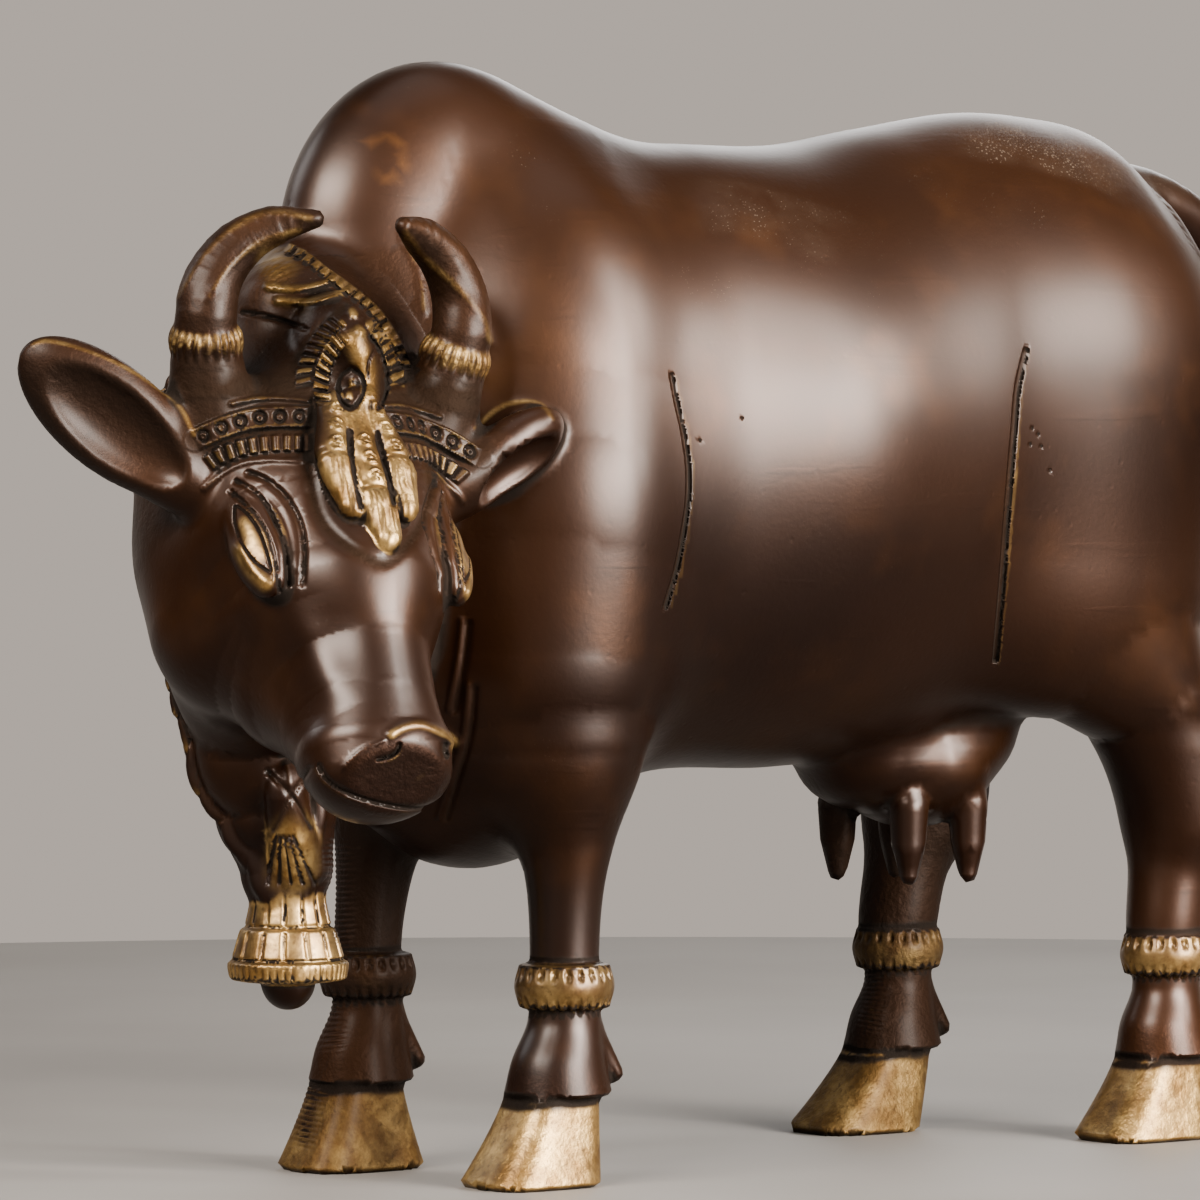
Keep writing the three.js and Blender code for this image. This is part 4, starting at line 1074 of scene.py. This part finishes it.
# The far legs, away from the lamps, are darkened with a film of painted shade. They, the feet, the skin above
# the eyes and the muzzle's pad are rough as cast.
far_legs = smooth(0, 6, points[:, 1]) * smooth(78, 62, points[:, 2])
grime_and_shade = np.maximum(grime_and_shade, 0.5 * far_legs)
rough = np.maximum(far_legs, smooth(30, 16, points[:, 2]) * 0.6)
on_head = from_eyes(points)
above_eyes = smooth(-9, -24, on_head[:, 0]) * (np.abs(on_head).max(1) < 62) * (points[:, 0] < -88)
on_pad = smooth(0.9, 0.2, np.abs(past_pad(on_head))) * (np.abs(on_head[:, 1]) < 20) * (on_head[:, 0] > 20)
rough = np.max([rough, 0.75 * above_eyes, on_pad], axis=0)
grime_and_shade = np.maximum(grime_and_shade, 0.4 * above_eyes * (1 - brassy))
shown_at = seen(points)
upward = smooth(-0.1, 0.4, normals[:, 2])
# Dust lies on the back and the rump, and there are two stains like rings on the hump.
dusty_lines = [
    (0.7, Stroke([(690, 203), (740, 208), (790, 222), (850, 242)], 26, flat=True)),
    (1.0, Stroke([(950, 125), (1050, 142), (1130, 172), (1190, 215)], 30, flat=True)),
]
dusty = np.max([weight * one(shown_at)[1] for weight, one in dusty_lines], axis=0) * upward
stains = [((383, 158), 21), ((322, 205), 13)]
from_stain = [np.hypot(*(shown_at - centre).T) - radius for centre, radius in stains]
stain = np.exp(-((np.min(np.abs(from_stain), axis=0) / 3.2) ** 2)) * (points[:, 0] > -95)
MASKS = dict(brass=brass, hollow=hollow, grime_and_shade=grime_and_shade, rough=rough, dusty=dusty, stain=stain)

# The pieces: the casting's skin is dealt out to a body, a head and a bell, each closed inside the metal

FRAME_MIDDLE = np.array([-24.693, -11.180, 0])


def to_frame(p):
    """From the sculpting frame, in millimetres, to the part's frame in metres."""
    return (np.asarray(p, float) - FRAME_MIDDLE) * MM


def open_edges(part):
    """The directed edges along which the part was cut from the rest."""
    ends = part[:, [[0, 1], [1, 2], [2, 0]]].reshape(-1, 2)
    there = ends[:, 0] * len(points) + ends[:, 1]
    back = ends[:, 1] * len(points) + ends[:, 0]
    return ends[~np.isin(there, back)]


def unpinched(chosen):
    """The choice of triangles, widened until none of its cut loops touches itself."""
    while True:
        starts, number = np.unique(open_edges(triangles[chosen])[:, 0], return_counts=True)
        if number.max() == 1:
            return chosen
        chosen = chosen | np.isin(triangles, starts[number > 1]).any(1)


def cut_loops(part):
    """The loops of edges along which the part was cut from the rest, each as its edges in order."""
    onward = dict(open_edges(part).tolist())
    loops = []
    while onward:
        start, at = onward.popitem()
        loop = [[start, at]]
        while at != start:
            loop.append([at, onward.pop(at)])
            at = loop[-1][1]
        loops.append(loop)
    return loops


def closed(part):
    """The part's triangles with a fan over each loop where it was cut, and the middles of the fans."""
    fans, hubs = [part], np.zeros((0, 3))
    for loop in cut_loops(part):
        fans.append([[b, a, len(points) + len(hubs)] for a, b in loop])
        hubs = np.vstack([hubs, points[[a for a, _ in loop]].mean(0)])
    return np.vstack(fans), hubs


def piece(name, part):
    """A mesh piece of the casting that rides on the statue's one body."""
    part, hubs = closed(part)
    used, corners = np.unique(part, return_inverse=True)
    everything = np.vstack([points, hubs])
    facing = np.vstack([normals, np.tile([0, 0, 1], (len(hubs), 1))])
    mesh = bpy.data.meshes.new(name)
    places = np.clip(to_frame(everything[used]), cad_box[0], cad_box[1])
    mesh.from_pydata(places, [], corners.reshape(-1, 3).tolist())
    for label, values in MASKS.items():
        layer = mesh.attributes.new(label, "FLOAT", "POINT")
        layer.data.foreach_set("value", np.append(values, np.zeros(len(hubs)))[used].astype(np.float32))
    mesh.shade_smooth()
    mesh.normals_split_custom_set_from_vertices(facing[used])
    obj = bpy.data.objects.new(name, mesh)
    bpy.context.scene.collection.objects.link(obj)
    mesh.materials.append(BRONZE)
    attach(obj, "root")
    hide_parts("cow")


# Materials


def node(tree, kind, output, inputs, **settings):
    """One output of a new node with those settings and inputs."""
    made = tree.nodes.new("ShaderNode" + kind)
    for key, value in settings.items():
        setattr(made, key, value)
    for key, value in inputs.items():
        put(tree, made.inputs[key], value)
    return made.outputs[output]


def put(tree, socket, value):
    """A link, a colour or a number into a socket."""
    if isinstance(value, bpy.types.NodeSocket):
        tree.links.new(value, socket)
    else:
        socket.default_value = (*value, 1) if socket.type == "RGBA" else value


class Nodes:
    """A material's node tree, built by name."""

    def __init__(self, name):
        self.material = bpy.data.materials.new(name)
        self.material.use_nodes = True
        self.tree = self.material.node_tree
        self.place = self.node("TexCoord", "Object", {})

    def node(self, *given, **settings):
        return node(self.tree, *given, **settings)

    def shade(self, inputs):
        """The inputs of the material's shader."""
        shader = self.tree.nodes["Principled BSDF"]
        for key, value in inputs.items():
            put(self.tree, shader.inputs[key], value)

    def math(self, operation, *values, clamp=False):
        return self.node("Math", 0, dict(enumerate(values)), operation=operation, use_clamp=clamp)

    def times(self, a, b):
        return self.math("MULTIPLY", a, b)

    def scaled(self, value, by, plus, clamp=False):
        return self.math("MULTIPLY_ADD", value, by, plus, clamp=clamp)

    def most(self, a, b):
        return self.math("MAXIMUM", a, b)

    def attribute(self, name):
        """A mask of the mesh."""
        return self.node("Attribute", "Fac", {}, attribute_name=name)

    def noise(self, scale, detail, roughness, stretch=(1, 1, 1), distortion=0.0):
        place = self.node("Mapping", 0, {"Vector": self.place, "Scale": stretch})
        given = {"Vector": place, "Scale": scale, "Detail": detail}
        given |= {"Roughness": roughness, "Distortion": distortion}
        return self.node("TexNoise", "Fac", given)

    def cells(self, scale):
        """The distance to the nearest of many scattered points."""
        return self.node("TexVoronoi", "Distance", {"Vector": self.place, "Scale": scale})

    def ramp(self, value, low, high):
        """0 at low and beyond, 1 at high and beyond."""
        given = {"Value": value, "From Min": low, "From Max": high}
        return self.node("MapRange", 0, given, interpolation_type="SMOOTHSTEP")

    def mix(self, factor, a, b):
        """From colour a to colour b as the factor goes from 0 to 1."""
        return self.node("Mix", 2, {0: factor, 6: a, 7: b}, data_type="RGBA")

    def bump(self, height, distance, *below):
        """A normal with relief of that height, on top of an earlier one if given."""
        given = {"Height": height, "Distance": distance, "Strength": 1.0}
        given |= {"Normal": normal for normal in below}
        return self.node("Bump", 0, given)


def bronze():
    """Brown patina over brass: it has worn through on what stands out, dirt stays in the hollows, and shade
    is painted on the skin that faces down and on the far legs.
    """
    n = Nodes("patinated_brass")
    brass, hollow, grime_and_shade, rough_cast = (n.attribute(name) for name in ("brass", "hollow", "grime_and_shade", "rough"))
    cloud = n.noise(38, 3, 0.6)
    broad = n.noise(13, 2, 0.5, distortion=0.4)
    grain = n.noise(900, 2, 0.6)
    speck = n.cells(1400)
    up = n.node("SeparateXYZ", "Z", {0: n.node("NewGeometry", "Normal", {})})

    # Patina, from near black to a warm brown, mottled; painted shade makes it darkest where the skin faces
    # down.
    dark, warm, bright = (0.012, 0.0034, 0.0007), (0.038, 0.0120, 0.0024), (0.090, 0.032, 0.0070)
    patina = n.mix(n.ramp(broad, 0.3, 0.7), dark, warm)
    patina = n.mix(n.times(n.ramp(cloud, 0.5, 0.8), 0.45), patina, bright)

    # Brass, with tarnish in its finest texture.
    gold = n.mix(n.ramp(n.noise(160, 4, 0.65), 0.35, 0.7), (0.24, 0.13, 0.034), (0.64, 0.42, 0.15))
    gold = n.mix(n.times(n.ramp(grain, 0.55, 0.75), 0.6), gold, (0.12, 0.063, 0.02))
    blotches = n.ramp(n.noise(75, 4, 0.7, distortion=0.6), 0.5, 0.64)
    gold = n.mix(n.times(blotches, 0.55), gold, (0.10, 0.052, 0.018))
    wear = n.math("ADD", brass, n.scaled(cloud, 0.5, -0.25))
    wear = n.ramp(wear, 0.18, 0.85)
    wear = n.times(wear, n.scaled(grime_and_shade, -0.6, 1.0))
    # painted shade: the patina is darkened towards near black where the skin faces down
    painted_underside_shade = n.times(n.ramp(up, 0.3, -0.5), 0.75)
    patina = n.mix(painted_underside_shade, patina, (0.005, 0.0014, 0.0004))
    colour = n.mix(wear, patina, gold)

    # Dirt in the hollows, and a dull dark film over the places that are never rubbed and, as painted shade,
    # over the far legs.
    film = n.times(grime_and_shade, n.ramp(n.noise(110, 4, 0.65), 0.0, 0.35))
    colour = n.mix(n.times(film, 0.8), colour, (0.016, 0.010, 0.006))
    dirt = n.ramp(n.math("ADD", hollow, n.scaled(n.noise(300, 3, 0.6), 0.4, -0.2)), 0.15, 0.7)
    colour = n.mix(n.times(dirt, 0.85), colour, (0.014, 0.011, 0.009))

    # Fine pale dust, mostly where the skin faces up.
    facing_up = n.ramp(up, 0.0, 1.0)
    dusty = n.times(n.attribute("dusty"), n.ramp(n.noise(45, 4, 0.7), 0.3, 0.6))
    amount = n.scaled(dusty, 0.25, n.times(n.ramp(n.noise(60, 3, 0.7), 0.4, 0.8), 0.16))
    dust = n.math("LESS_THAN", speck, amount)
    dust = n.times(dust, n.scaled(facing_up, 0.75, 0.1))
    dust = n.most(dust, n.times(dusty, 0.12))
    colour = n.mix(n.times(n.attribute("stain"), 0.5), colour, (0.13, 0.05, 0.010))
    colour = n.mix(dust, colour, (0.20, 0.15, 0.11))

    # The metal under the patina shows more where it is worn, and a thin coat shines where nothing lies on it.
    metallic = n.scaled(wear, 0.45, 0.55)
    rough = n.scaled(n.noise(70, 3, 0.6), 0.16, 0.32)
    rough = n.scaled(rough_cast, 0.1, rough)
    rough = n.scaled(dirt, 0.3, rough)
    rough = n.scaled(film, 0.25, rough)
    rough = n.scaled(dust, 0.3, rough)
    covered = n.most(n.most(film, dirt), n.times(rough_cast, 0.8))
    covered = n.most(covered, n.times(n.ramp(up, 0.3, -0.3), 0.8))
    coat = n.scaled(covered, -0.9, 0.8, clamp=True)

    # Relief too fine for the mesh: unevenness of the wax, scratches, pits and the grain of the casting.
    scratches = n.ramp(n.noise(240, 2, 0.5, stretch=(0.06, 0.5, 1)), 0.62, 0.7)
    pits = n.ramp(n.cells(210), 0.0, 0.16)
    normal = n.bump(n.noise(22, 2, 0.5), 0.0012)
    normal = n.bump(scratches, 0.00003, normal)
    normal = n.bump(pits, 0.00004, normal)
    normal = n.bump(grain, 0.00005, normal)
    cast = n.times(n.noise(420, 3, 0.65), n.most(rough_cast, n.times(film, 0.8)))
    normal = n.bump(cast, 0.00055, normal)
    n.shade({"Base Color": colour, "Metallic": metallic, "Roughness": rough, "Normal": normal})
    n.shade({"IOR": 1.5, "Specular IOR Level": 0.12, "Coat Weight": coat, "Coat Roughness": 0.33})
    return n.material


def pale_floor():
    """A plain pale floor, very slightly uneven in tone."""
    n = Nodes("pale_floor")
    colour = n.mix(n.ramp(n.noise(9, 3, 0.5), 0.3, 0.7), (0.235, 0.225, 0.215), (0.26, 0.25, 0.24))
    n.shade({"Base Color": colour, "Roughness": 0.6})
    return n.material


BRONZE = bronze()

# Where the head piece parts from the body, along X and in height, and the widest that the bell reaches.
HEAD_PART, HEAD_FOOT, BELL_WIDEST = -84, 50, 15
centres = points[triangles].mean(1)
in_bell = np.hypot(centres[:, 0] - BELL_X, centres[:, 1]) < BELL_WIDEST
in_bell &= centres[:, 2] < BELL_TOP + 0.8
in_head = (centres[:, 0] < HEAD_PART) & (centres[:, 2] > HEAD_FOOT) & ~in_bell
in_bell, in_head = unpinched(in_bell), unpinched(in_head)
piece("cow_body", triangles[~in_head & ~in_bell])
piece("cow_head", triangles[in_head])
piece("cow_bell", triangles[in_bell])

# The floor, the camera and the lights

FLOOR_RADIUS = 0.66
bpy.ops.mesh.primitive_circle_add(vertices=128, radius=FLOOR_RADIUS, fill_type="NGON", location=(0, 0, 0))
floor = bpy.context.object
floor.name = "floor"
floor.data.materials.append(pale_floor())

# The camera stands level with the cow's chest, 1.1 m off, 37 degrees round from its flank towards its face.
view = Vector(SIGHT)
camera = bpy.data.objects.new("camera", bpy.data.cameras.new("camera"))
bpy.context.scene.collection.objects.link(camera)
place = -SIGHT * CAMERA_DISTANCE - RIGHTWARD * CAMERA_ASIDE + [0, 0, CAMERA_HEIGHT]
camera.location = to_frame(place)
SENSOR_WIDTH = 36
camera.data.sensor_width = SENSOR_WIDTH
camera.data.lens = SENSOR_WIDTH * PICTURE_SCALE / PICTURE_SIDE
aim = (view + Vector((0, 0, (HORIZON - PICTURE_SIDE / 2) / PICTURE_SCALE))).to_track_quat("-Z", "Y")
camera.rotation_euler = aim.to_euler()
bpy.context.scene.camera = camera


def softbox(name, azimuth, elevation, distance, width, height, power, colour):
    """An area light facing the statue. Azimuth 0 looks at its left flank, and turns towards its tail."""
    light = bpy.data.lights.new(name, "AREA")
    light.shape = "RECTANGLE"
    light.size, light.size_y = width, height
    light.energy = power
    light.color = colour
    lamp = bpy.data.objects.new(name, light)
    bpy.context.scene.collection.objects.link(lamp)
    a, e = math.radians(azimuth), math.radians(elevation)
    way = Vector((math.sin(a) * math.cos(e), -math.cos(a) * math.cos(e), math.sin(e)))
    lamp.location = Vector((0, 0, 0.11)) + way * distance
    lamp.rotation_euler = way.to_track_quat("Z", "Y").to_euler()


WHITE, WARM, WARMER = (1, 1, 1), (1.0, 0.92, 0.84), (1.0, 0.90, 0.80)
for lamp_given in (
    ("right", 12, 9, 1.1, 0.56, 0.44, 36, WARM),
    ("right_strip", 24, 24, 1.1, 0.16, 0.60, 11, WARM),
    ("far_right", 41, 21, 1.1, 0.14, 0.36, 6.5, WARM),
    ("left", -74, 31.5, 1.1, 0.66, 0.30, 21, WARMER),
    ("rim", 130, 25, 1.1, 0.45, 0.40, 1.8, WHITE),
    ("top", 20, 84, 1.0, 0.80, 0.60, 1.0, WHITE),
    ("back_left", -150, 30, 1.1, 0.40, 0.40, 1.4, WHITE),
):
    softbox(*lamp_given)

# The room: a lit pale backdrop behind the statue, and dark behind the camera.
world = bpy.data.worlds.new("studio")
bpy.context.scene.world = world
world.use_nodes = True
tree = world.node_tree
direction = node(tree, "TexCoord", "Generated", {})
facing = node(tree, "VectorMath", "Value", {0: direction, 1: view}, operation="DOT_PRODUCT")
span = {"Value": facing, "From Min": 0.5, "From Max": 0.98, "To Min": 0.03}
lit = node(tree, "MapRange", 0, span, interpolation_type="SMOOTHSTEP")
for key, value in {"Color": (0.54, 0.475, 0.42), "Strength": lit}.items():
    put(tree, tree.nodes["Background"].inputs[key], value)
